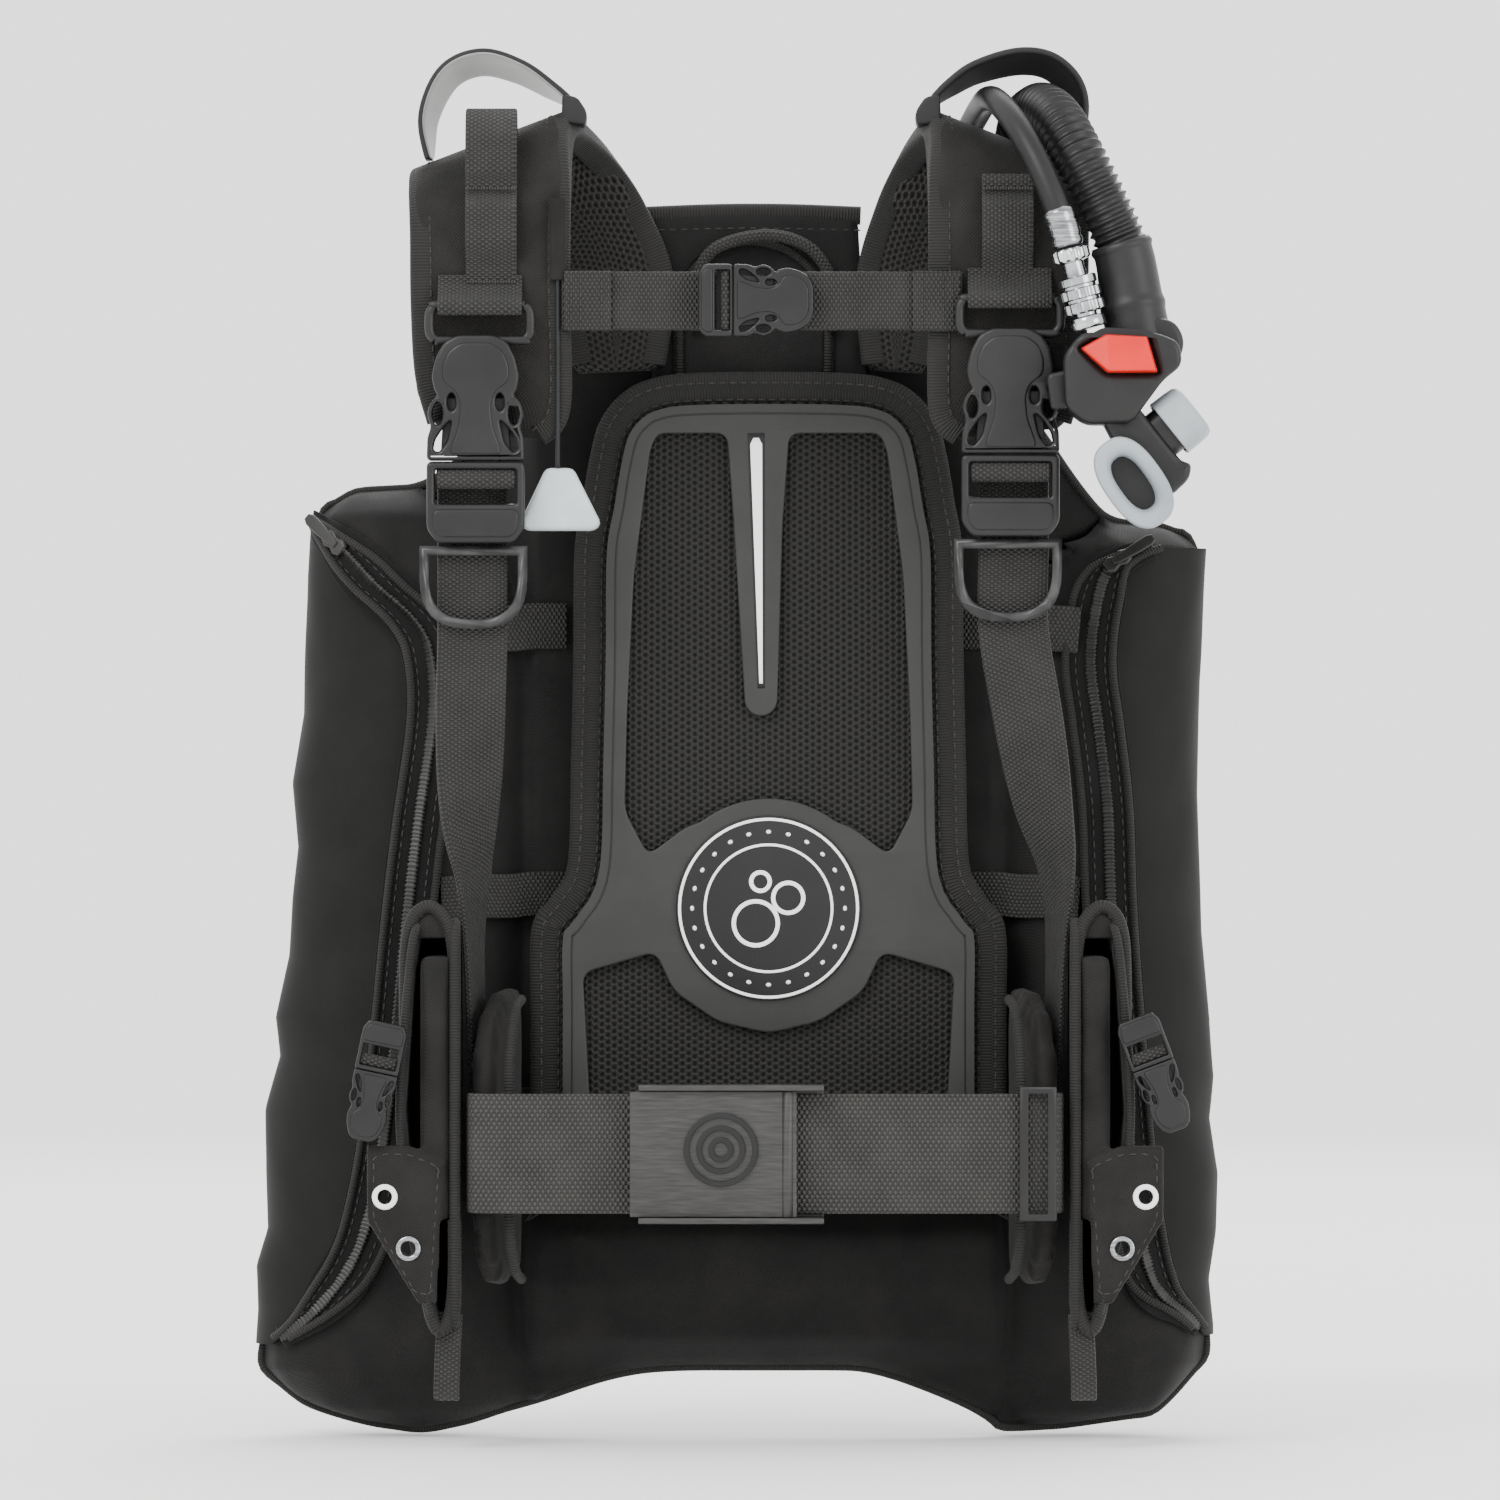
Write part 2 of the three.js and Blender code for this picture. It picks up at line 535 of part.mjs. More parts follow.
// ---- hip flaps: D-shaped pads inside the belt's side runs ----
const flapThickness = 8;
const flapPoints = [[0, -98], [30, -100], [48, -108], [56, -124], [58, -150], [58, -196],
  [54, -214], [42, -224], [20, -226], [0, -220]];
const flapRear = -42;
const flapOut = sideRunX(flapRear) - (webThickness / 2 + clearance) / Math.cos(sideRunAngle);
for (const [side, sign] of sides) {
  const group = new THREE.Group();
  group.position.set(sign * flapOut, flapRear, 0);
  group.rotation.z = sign * (sideRunAngle - Math.PI / 2);
  vest.add(group);
  const shape = outline(flapPoints.map(([x, z]) => [sign * x, z]));
  add(`hip_flap_${side}`, plate(shape, 0, flapThickness), nylon(), group);
}

// ---- weight pockets with their pouches ----
// rows of z, outer X, rear Y, front Y
const pocketRows = [[-71, 150, -60, -100], [-90, 153, -44, -105], [-150, 157, -40, pocketFront],
  [-200, 152, -44, pocketFront], [-238, 143, -62, -104]];
const grip = { top: -164, bottom: -232 };
const pouchFront = pocketFront - 0.4;
const pocketBuckle = { width: 18, length: 30, clipHeight: 22, thickness: 8 };
const pocketBuckles = {
  left: { x: -165.5, z: -133, turn: 0.21 }, right: { x: 165, z: -130, turn: -0.36 },
};
for (const [side, sign] of sides) {
  const sleeve = pocketRows.map(([z, outer, rear, front]) => {
    const wall = (inset) => [[outer - inset, front], [outer - inset, rear - inset],
      [pocketInner + inset, rear - inset], [pocketInner + inset, front]];
    const at = ([x, y]) => new THREE.Vector3(sign * x, y, z);
    return [...wall(0).map(at), ...wall(pocketWall).map(at).reverse()];
  });
  add(`weight_pocket_${side}`, loft(sleeve), nylon());
  const inside = pocketInner + pocketWall + runGap;
  const pouch = block(sign * inside, sign * (149.5 - pocketWall), -58, pouchFront, -84, -196);
  const gripShape = outline([[inside + 2, -170], [152, grip.top], [170, grip.top], [170, -196],
    [148, grip.bottom], [140, grip.bottom]].map(([x, z]) => [sign * x, z]));
  const eyelets = [[162, -186], [152, -208]].map(([x, z]) => rod("y", 3, -100, -120, sign * x, z, 14));
  add(`weight_pouch_${side}`, cut(join(pouch, plate(gripShape, pouchFront + 0.1, 3)), ...eyelets),
    finish(0x5a5a5a, 0.8));
  const { x, z, turn } = pocketBuckles[side];
  const { width, length, clipHeight, thickness } = pocketBuckle;
  const buckle = buckleAt(x, pocketFront - 2 * clearance - thickness / 2, z, turn + Math.PI);
  add(`pocket_buckle_socket_${side}`, buckleSocket(width, length, thickness), moulded(), buckle);
  add(`pocket_buckle_clip_${side}`, buckleClip(width, clipHeight, thickness, 0.56 * length),
    moulded(), buckle);
}

// ---- cylinder strap ----
const tankMiddle = tankRadius + clearance;
const bandRadius = tankRadius + bandThickness / 2 + 1;
const bandRoute = [];
const bandStart = Math.asin(62 / bandRadius);
for (let i = 0; i <= 26; i += 1) {
  const angle = bandStart + ((2 * Math.PI - 2 * bandStart) * i) / 26;
  bandRoute.push([bandRadius * Math.sin(angle), tankMiddle - bandRadius * Math.cos(angle)]);
}
const bandDeep = cradleFront + clearance + bandThickness / 2;
const cradleEdge = cradleWidth / 2;
bandRoute.push([-cradleEdge - 6, bandDeep + 2.4], [-cradleEdge - 1, bandDeep],
  [cradleEdge + 1, bandDeep], [cradleEdge + 6, bandDeep + 2.4]);
add("tank_band", uprightBand(bandRoute, 0, bandWidth, bandThickness, true), webbing());

const camBase = tankMiddle + bandRadius + bandThickness / 2 + 0.8;
const lever = { half: 26, thickness: 4, height: 24, pinX: 22 };
const baseHalf = 29;
const tankBase = block(-baseHalf, baseHalf, camBase, camBase + 3, -baseHalf, baseHalf);
const slots = [-20, 20].map((x) => block(x - 3, x + 3, camBase - 1, camBase + 5, -26, 26));
const ears = [-1, 1].map((sign) => block(12, baseHalf, camBase, camBase + 12,
  sign * (lever.height + runGap), sign * baseHalf));
add("tank_buckle_frame", join(cut(tankBase, ...slots), ...ears), moulded());
const leverRear = camBase + 3 + 2.2;
const leverPlate = block(-lever.half, lever.pinX + 3, leverRear, leverRear + lever.thickness,
  -lever.height, lever.height);
add("tank_buckle_lever", join(leverPlate,
  rod("z", 3.6, -lever.height, lever.height, lever.pinX, leverRear + 2, 14)), moulded());

// ---- inflator: hose, body, buttons, mouthpiece ----
const hoseY = -105;
const hoseEnd = [155, hoseY, 204.6];
const hosePoints = [hoseEnd, [154.4, hoseY, 212], [150, hoseY, 224], [143, hoseY, 239], [134, -102, 257],
  [126, -90, 272], [120, -72, 279], [116, -54, 279], [112, -36, 275], [110, -18, 265],
  [106, -4, 248], [100, 6, 224], [92, 14, 200], [84, 18, 181], [78, 15, 166],
  [port.x, 6, port.z + 0.4], [port.x, cellBack + port.rise + 1, port.z]];
add("corrugated_hose", tube(hosePoints, hoseRadius, 12, 40), finish(0x2e2e2e, 0.5));

const bodyFront = -130;
const bodyRear = -96;
const bodyTop = 181;
const bodyShape = outline([[129, bodyTop], [177, bodyTop], [177, 166], [170, 161], [157.5, 143.5],
  [129, 143.5]]);
const cuff = rod("z", 13.5, bodyTop - 2, hoseEnd[2] - 1.6, hoseEnd[0] + 1, hoseY, 20);
const press = { from: 137, to: 168, low: 164.5, high: 180.2, proud: 8, seat: 4, travel: 3 };
const pocket = block(press.from - runGap, press.to + runGap, bodyFront - 1,
  bodyFront + press.seat + press.travel + runGap, press.low - runGap, bodyTop + 5);
add("inflator_body", cut(join(plate(bodyShape, bodyRear, bodyRear - bodyFront), cuff), pocket),
  finish(0x303030, 0.45));
add("inflate_button", block(press.from, press.to, bodyFront - press.proud, bodyFront + press.seat,
  press.low, press.high), finish(0xe8413c, 0.35));

// the mouthpiece block hangs at the body's slanted corner, the deflate button on its outer end
const purge = { x: 177.5, z: 145.5, half: 13, thick: 6, stem: 4, reach: 8, travel: 3 };
const purgeTurn = Math.atan2(0.78, 0.62);
const purgeGroup = new THREE.Group();
purgeGroup.position.set(purge.x, -112, purge.z);
purgeGroup.rotation.y = purgeTurn;
vest.add(purgeGroup);
const purgeCap = block(-purge.half, purge.half, -14, 14, -purge.thick, purge.thick);
const purgeStem = rod("z", purge.stem, -purge.thick - purge.reach, 0, 0, 0, 14);
add("deflate_button", join(purgeCap, purgeStem), finish(0xc9ced2, 0.4), purgeGroup);
const purgeSpace = rod("z", purge.stem + runGap, -purge.thick - purge.reach - purge.travel - runGap,
  10, 0, 0, 14).rotateY(purgeTurn).translate(purge.x, -112, purge.z);
const purgeClear = block(-40, 40, -30, 30, -purge.thick - purge.travel - runGap, 40)
  .rotateY(purgeTurn).translate(purge.x, -112, purge.z);
const blockShape = outline([[158, 143], [171.5, 158], [184, 146], [184, 113], [165, 113], [152, 134]]);
add("mouthpiece_body", cut(plate(blockShape, -98, 28), purgeClear, purgeSpace),
  finish(0x303030, 0.45));

const bite = { x: 156, z: 117.5, long: 21, wide: 11.5, wall: 4.2, depth: 12, turn: -0.95 };
function oval(long, wide) {
  const shape = new THREE.Shape();
  shape.absellipse(0, 0, long, wide, 0, 2 * Math.PI);
  return shape;
}
const biteShape = oval(bite.long, bite.wide);
biteShape.holes.push(oval(bite.long - bite.wall, bite.wide - bite.wall));
const biteMesh = add("mouthpiece", plate(biteShape, 0, bite.depth), finish(0xaab3b8, 0.55));
biteMesh.position.set(bite.x, -126 - clearance, bite.z);
biteMesh.rotation.y = -bite.turn;

// ---- low-pressure coupling, collar and hose ----
const coupling = { x: 129, y: -119, top: 217.5, length: 35.2, tilt: -0.258 };
const couplingGroup = new THREE.Group();
couplingGroup.position.set(coupling.x, coupling.y, coupling.top);
couplingGroup.rotation.y = coupling.tilt;
vest.add(couplingGroup);
const core = 4.6;
function turned(profile) {
  const points = profile.map(([r, z]) => new THREE.Vector2(r, z));
  return new THREE.LatheGeometry(points, 20).rotateX(Math.PI / 2);
}
add("lp_coupling", turned([[0, -coupling.length], [7.6, -coupling.length], [7.6, -30], [core, -30],
  [core, -6], [7.8, -6], [7.8, 0], [0, 0]]), steel(), couplingGroup);
const collarIn = core + runGap;
add("lp_collar", turned([[collarIn, -28.5], [8.4, -28.5], [8.4, -12.5], [collarIn, -12.5],
  [collarIn, -28.5]]), steel(), couplingGroup);

const lpPoints = [[128.8, -119, 218.3], [126.5, -119, 227], [122, -118, 240], [115, -113, 256],
  [107, -102, 271], [100, -86, 281], [96, -66, 284], [93, -46, 281], [88, -26, 272],
  [80, -6, 254], [70, 5, 228], [61, 6, 200], [57, 6, 172], [58, 6, 140], [63, 6, 95], [68, 6, 45],
  [70, 5, 0], [70, 5, -50], [70, 5, -100], [70, 5, -145]];
add("lp_hose", tube(lpPoints, lpHoseRadius, 10, 60), finish(0x222222, 0.45));
const lpEnd = lpPoints[lpPoints.length - 1];
add("lp_hose_fitting", turned([[0, -25], [4.6, -25], [4.6, -14], [7, -14], [7, -4], [6, -4], [6, 0],
  [0, 0]]).translate(lpEnd[0], lpEnd[1], lpEnd[2] - clearance), steel());

// ---- pull dump ----
const cordX = -88.6;
const cordY = strapFace - clearance - cordRadius;
const toggleTop = 124.7;
const cordPoints = [230, 208, 185, 160, 140, toggleTop + clearance].map((z) => [cordX, cordY, z]);
add("dump_cord", tube(cordPoints, cordRadius, 8, 10), finish(0x222222, 0.7));
const toggleShape = outline([[-93.7, toggleTop], [-82, toggleTop], [-70, 101], [-73, 98],
  [-102, 98], [-105, 101]]);
add("dump_toggle", plate(toggleShape, strapFace + 11.5, 14), finish(0xdfe5e6, 0.5));

vest.name = "buoyancy_vest";
export default vest;
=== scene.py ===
import json
import bmesh
import bpy
import numpy as np
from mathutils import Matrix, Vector

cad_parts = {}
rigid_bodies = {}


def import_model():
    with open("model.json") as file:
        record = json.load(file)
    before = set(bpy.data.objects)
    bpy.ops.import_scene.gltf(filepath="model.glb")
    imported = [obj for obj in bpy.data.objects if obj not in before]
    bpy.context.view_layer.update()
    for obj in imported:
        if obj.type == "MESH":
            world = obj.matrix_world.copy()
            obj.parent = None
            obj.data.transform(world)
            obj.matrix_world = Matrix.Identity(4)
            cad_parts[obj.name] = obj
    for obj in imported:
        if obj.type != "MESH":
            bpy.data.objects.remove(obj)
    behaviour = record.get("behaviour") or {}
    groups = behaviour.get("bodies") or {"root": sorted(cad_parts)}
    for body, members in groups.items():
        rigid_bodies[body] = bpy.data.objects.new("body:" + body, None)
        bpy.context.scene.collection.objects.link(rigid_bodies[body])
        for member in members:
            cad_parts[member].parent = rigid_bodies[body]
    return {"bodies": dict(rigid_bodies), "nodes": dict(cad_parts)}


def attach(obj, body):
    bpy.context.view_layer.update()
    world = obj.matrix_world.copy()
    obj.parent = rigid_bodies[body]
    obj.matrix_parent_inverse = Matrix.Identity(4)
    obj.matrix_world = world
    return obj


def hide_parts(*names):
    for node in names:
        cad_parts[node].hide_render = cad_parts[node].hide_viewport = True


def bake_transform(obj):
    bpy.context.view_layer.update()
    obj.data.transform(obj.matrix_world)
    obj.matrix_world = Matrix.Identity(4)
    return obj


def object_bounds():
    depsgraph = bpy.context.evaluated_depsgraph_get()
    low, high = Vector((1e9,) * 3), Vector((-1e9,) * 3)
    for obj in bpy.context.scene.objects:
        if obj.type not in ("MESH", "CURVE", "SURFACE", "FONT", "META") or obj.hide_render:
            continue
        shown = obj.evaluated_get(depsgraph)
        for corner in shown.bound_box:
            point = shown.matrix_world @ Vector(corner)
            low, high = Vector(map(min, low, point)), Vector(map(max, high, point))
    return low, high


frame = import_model()
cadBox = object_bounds()
mm = 0.001
print("frame loaded,", len(frame["nodes"]), "nodes")

# Camera: level and square to the front, far enough away that near and far pieces keep their sizes.
cameraSet = {"distance": 5.0, "view": 0.645, "sensor": 36.0, "x": -0.0065, "z": 0.0043, "plane": -0.06}


def placeCamera(c):
    # lens = sensor width * distance / width seen at the object's plane
    data = bpy.data.cameras.new("camera")
    data.sensor_width = c["sensor"]
    data.lens = c["sensor"] * c["distance"] / c["view"]
    data.clip_end = 60
    holder = bpy.data.objects.new("camera", data)
    bpy.context.scene.collection.objects.link(holder)
    holder.location = (c["x"], c["plane"] - c["distance"], c["z"])
    holder.rotation_euler = (np.pi / 2, 0, 0)
    bpy.context.scene.camera = holder


placeCamera(cameraSet)


def toLinear(hexColour):
    # sRGB byte to linear light: c/12.92 below 0.04045, else ((c + 0.055)/1.055)^2.4
    c = np.array([int(hexColour[i:i + 2], 16) for i in (1, 3, 5)]) / 255
    lit = np.where(c <= 0.04045, c / 12.92, ((c + 0.055) / 1.055) ** 2.4)
    return (*[float(v) for v in lit], 1.0)


def addNode(tree, kind, settings=None, links=None):
    # one node, its settings by property or socket name or number, and its links by socket
    made = tree.nodes.new(kind)
    for name, value in (settings or {}).items():
        if isinstance(name, str) and hasattr(made, name):
            setattr(made, name, value)
        else:
            made.inputs[name].default_value = value
    for name, source in (links or {}).items():
        tree.links.new(source, made.inputs[name])
    return made


def startMaterial(name, colour, rough, metal=0.0, **sockets):
    # a Principled surface with its plain values set on its own sockets
    made = bpy.data.materials.new(name)
    made.use_nodes = True
    tree = made.node_tree
    shader = tree.nodes["Principled BSDF"]
    shader.inputs["Base Color"].default_value = toLinear(colour)
    shader.inputs["Roughness"].default_value = rough
    shader.inputs["Metallic"].default_value = metal
    for socket, value in sockets.items():
        shader.inputs[socket.replace("_", " ")].default_value = value
    made.diffuse_color = toLinear(colour)
    return made, tree, shader


def surfacePlace(tree, along):
    # two lengths on the surface, in metres: the UV map, or u = x + y and v = z + 0.6 y
    coords = addNode(tree, "ShaderNodeTexCoord")
    if along == "uv":
        parts = addNode(tree, "ShaderNodeSeparateXYZ", links={0: coords.outputs["UV"]})
        return parts.outputs[0], parts.outputs[1]
    u = addNode(tree, "ShaderNodeVectorMath", {"operation": "DOT_PRODUCT", 1: (1, 1, 0)},
        {0: coords.outputs["Object"]})
    v = addNode(tree, "ShaderNodeVectorMath", {"operation": "DOT_PRODUCT", 1: (0, 0.6, 1)},
        {0: coords.outputs["Object"]})
    return u.outputs["Value"], v.outputs["Value"]


def sum2(tree, a, ka, b, kb):
    # a*ka + b*kb, for sockets a and b and numbers ka and kb
    first = addNode(tree, "ShaderNodeMath", {"operation": "MULTIPLY", 1: ka}, {0: a})
    return addNode(tree, "ShaderNodeMath", {"operation": "MULTIPLY_ADD", 1: kb},
        {0: b, 2: first.outputs[0]}).outputs[0]


def sineWave(tree, a, ka, b, kb):
    # sin(a*ka + b*kb)
    return addNode(tree, "ShaderNodeMath", {"operation": "SINE"}, {0: sum2(tree, a, ka, b, kb)}).outputs[0]


def mottle(tree, scale, detail=4.0):
    # soft noise in object space, for dye, dust and rubbed patches
    coords = addNode(tree, "ShaderNodeTexCoord")
    return addNode(tree, "ShaderNodeTexNoise", {"Scale": scale, "Detail": detail, "Roughness": 0.6},
                   {"Vector": coords.outputs["Object"]}).outputs[0]


def dye(tree, shader, factor, low, high, start=0.0, end=1.0):
    # base colour from low to high as factor goes from start to end
    ramp = addNode(tree, "ShaderNodeValToRGB", links={0: factor})
    for element, place, colour in zip(ramp.color_ramp.elements, (start, end), (low, high)):
        element.position = place
        element.color = toLinear(colour)
    tree.links.new(ramp.outputs[0], shader.inputs["Base Color"])


def emboss(tree, shader, height, strength, distance):
    # relief of the given height in metres
    bump = addNode(tree, "ShaderNodeBump", {"Strength": strength, "Distance": distance}, {"Height": height})
    tree.links.new(bump.outputs[0], shader.inputs["Normal"])


def wovenCloth(name, dark, light, pitch, along, rough=0.72, relief=0.35, sheen=0.25):
    # plain weave: height = sin(2 pi u/pitch) * sin(2 pi v/pitch), so each thread rises over every other one,
    # with a slow dye variation on top and the raised threads painted lighter as a painted highlight; coated
    # nylon packcloth looks dull, with a faint sheen at grazing light
    made, tree, shader = startMaterial(name, dark, rough, Sheen_Weight=sheen * 0.2, Sheen_Roughness=0.45,
        Specular_IOR_Level=0.15)
    u, v = surfacePlace(tree, along)
    k = 2 * np.pi / pitch
    over = addNode(tree, "ShaderNodeMath", {"operation": "MULTIPLY"},
                   {0: sineWave(tree, u, k, v, 0), 1: sineWave(tree, u, 0, v, k)}).outputs[0]
    cloud = mottle(tree, 38)
    mixed = addNode(tree, "ShaderNodeMath", {"operation": "MULTIPLY_ADD", 1: 0.16},
        {0: over, 2: cloud}).outputs[0]
    # the raised threads (over) lift the dye: painted highlight on the thread tops
    dye(tree, shader, mixed, dark, light, 0.25, 0.8)
    crease = mottle(tree, 14, 2)
    both = addNode(tree, "ShaderNodeMath", {"operation": "MULTIPLY_ADD", 1: 0.12},
        {0: over, 2: crease}).outputs[0]
    emboss(tree, shader, both, relief, 0.0016)
    return made


def spacerMesh(name, thread, hole, pitch, along, relief=0.9):
    # knitted air mesh: three waves at 60 degrees add up to a hexagonal net, whose peaks are the open holes,
    # dyed towards the hole colour as painted shade inside them
    made, tree, shader = startMaterial(name, thread, 0.8, Sheen_Weight=0.05, Specular_IOR_Level=0.15)
    u, v = surfacePlace(tree, along)
    k = 4 * np.pi / (np.sqrt(3) * pitch)
    total = None
    for a in (0, np.pi / 3, 2 * np.pi / 3):
        turn = addNode(tree, "ShaderNodeMath", {"operation": "COSINE"},
                       {0: sum2(tree, u, k * np.cos(a), v, k * np.sin(a))}).outputs[0]
        total = turn if total is None else addNode(tree, "ShaderNodeMath", {"operation": "ADD"},
            {0: total, 1: turn}).outputs[0]
    # the holes are dyed black: painted shade in the openings
    dye(tree, shader, total, thread, hole, 0.0, 0.6)
    low = addNode(tree, "ShaderNodeMath", {"operation": "MULTIPLY", 1: -1.0}, {0: total}).outputs[0]
    emboss(tree, shader, low, relief, 0.0012)
    return made


def ribbedWebbing(name, dark, light, rib, column, rough=0.6, relief=0.8):
    # heavy webbing: ribs across, v waves, that step by half a rib from one warp column to the next:
    # height = sin(2 pi v/rib + 1.6 * sign(sin(2 pi u/column))) + |sin(2 pi u/column)|
    made, tree, shader = startMaterial(name, dark, rough, Sheen_Weight=0.04, Specular_IOR_Level=0.2)
    u, v = surfacePlace(tree, "uv")
    columns = sineWave(tree, u, 2 * np.pi / column, v, 0)
    side = addNode(tree, "ShaderNodeMath", {"operation": "SIGN"}, {0: columns}).outputs[0]
    ribs = sineWave(tree, v, 2 * np.pi / rib, side, 1.6)
    edge = addNode(tree, "ShaderNodeMath", {"operation": "ABSOLUTE"}, {0: columns}).outputs[0]
    height = addNode(tree, "ShaderNodeMath", {"operation": "MULTIPLY_ADD", 1: 0.8},
        {0: edge, 2: ribs}).outputs[0]
    cloud = mottle(tree, 60)
    # the ribs' height lifts the dye: painted highlight on the rib tops
    mixed = sum2(tree, height, 0.26, cloud, 0.5)
    dye(tree, shader, mixed, dark, light, 0.0, 0.7)
    emboss(tree, shader, height, relief, 0.0006)
    return made


def mouldedPlastic(name, dark, light, rough, grain=0.5, relief=0.15, **sockets):
    # injection moulding: spark-eroded grain of about half a millimetre, and handling marks that change the
    # gloss
    made, tree, shader = startMaterial(name, dark, rough, **{"Specular_IOR_Level": 0.3, **sockets})
    fine = mottle(tree, 1 / (grain * mm), 2)
    broad = mottle(tree, 25, 5)
    dye(tree, shader, broad, dark, light, 0.3, 0.75)
    gloss = addNode(tree, "ShaderNodeMapRange", {"To Min": rough - 0.07, "To Max": rough + 0.1},
        {"Value": broad})
    tree.links.new(gloss.outputs[0], shader.inputs["Roughness"])
    emboss(tree, shader, fine, relief, 0.0003)
    return made


def metalFinish(name, dark, light, rough, stretch, metal=1.0, relief=0.05, scale=90):
    # drawn or brushed metal: noise stretched along one axis makes fine scratches, and a broad one dulls the
    # gloss
    made, tree, shader = startMaterial(name, dark, rough, metal)
    coords = addNode(tree, "ShaderNodeTexCoord")
    place = addNode(tree, "ShaderNodeMapping", {"Scale": stretch}, {"Vector": coords.outputs["Object"]})
    lines = addNode(tree, "ShaderNodeTexNoise", {"Scale": scale, "Detail": 5.0},
        {"Vector": place.outputs[0]}).outputs[0]
    dye(tree, shader, lines, dark, light, 0.3, 0.7)
    gloss = addNode(tree, "ShaderNodeMapRange", {"To Min": max(rough - 0.06, 0.03), "To Max": rough + 0.12},
        {"Value": lines})
    tree.links.new(gloss.outputs[0], shader.inputs["Roughness"])
    emboss(tree, shader, lines, relief, 0.0002)
    return made


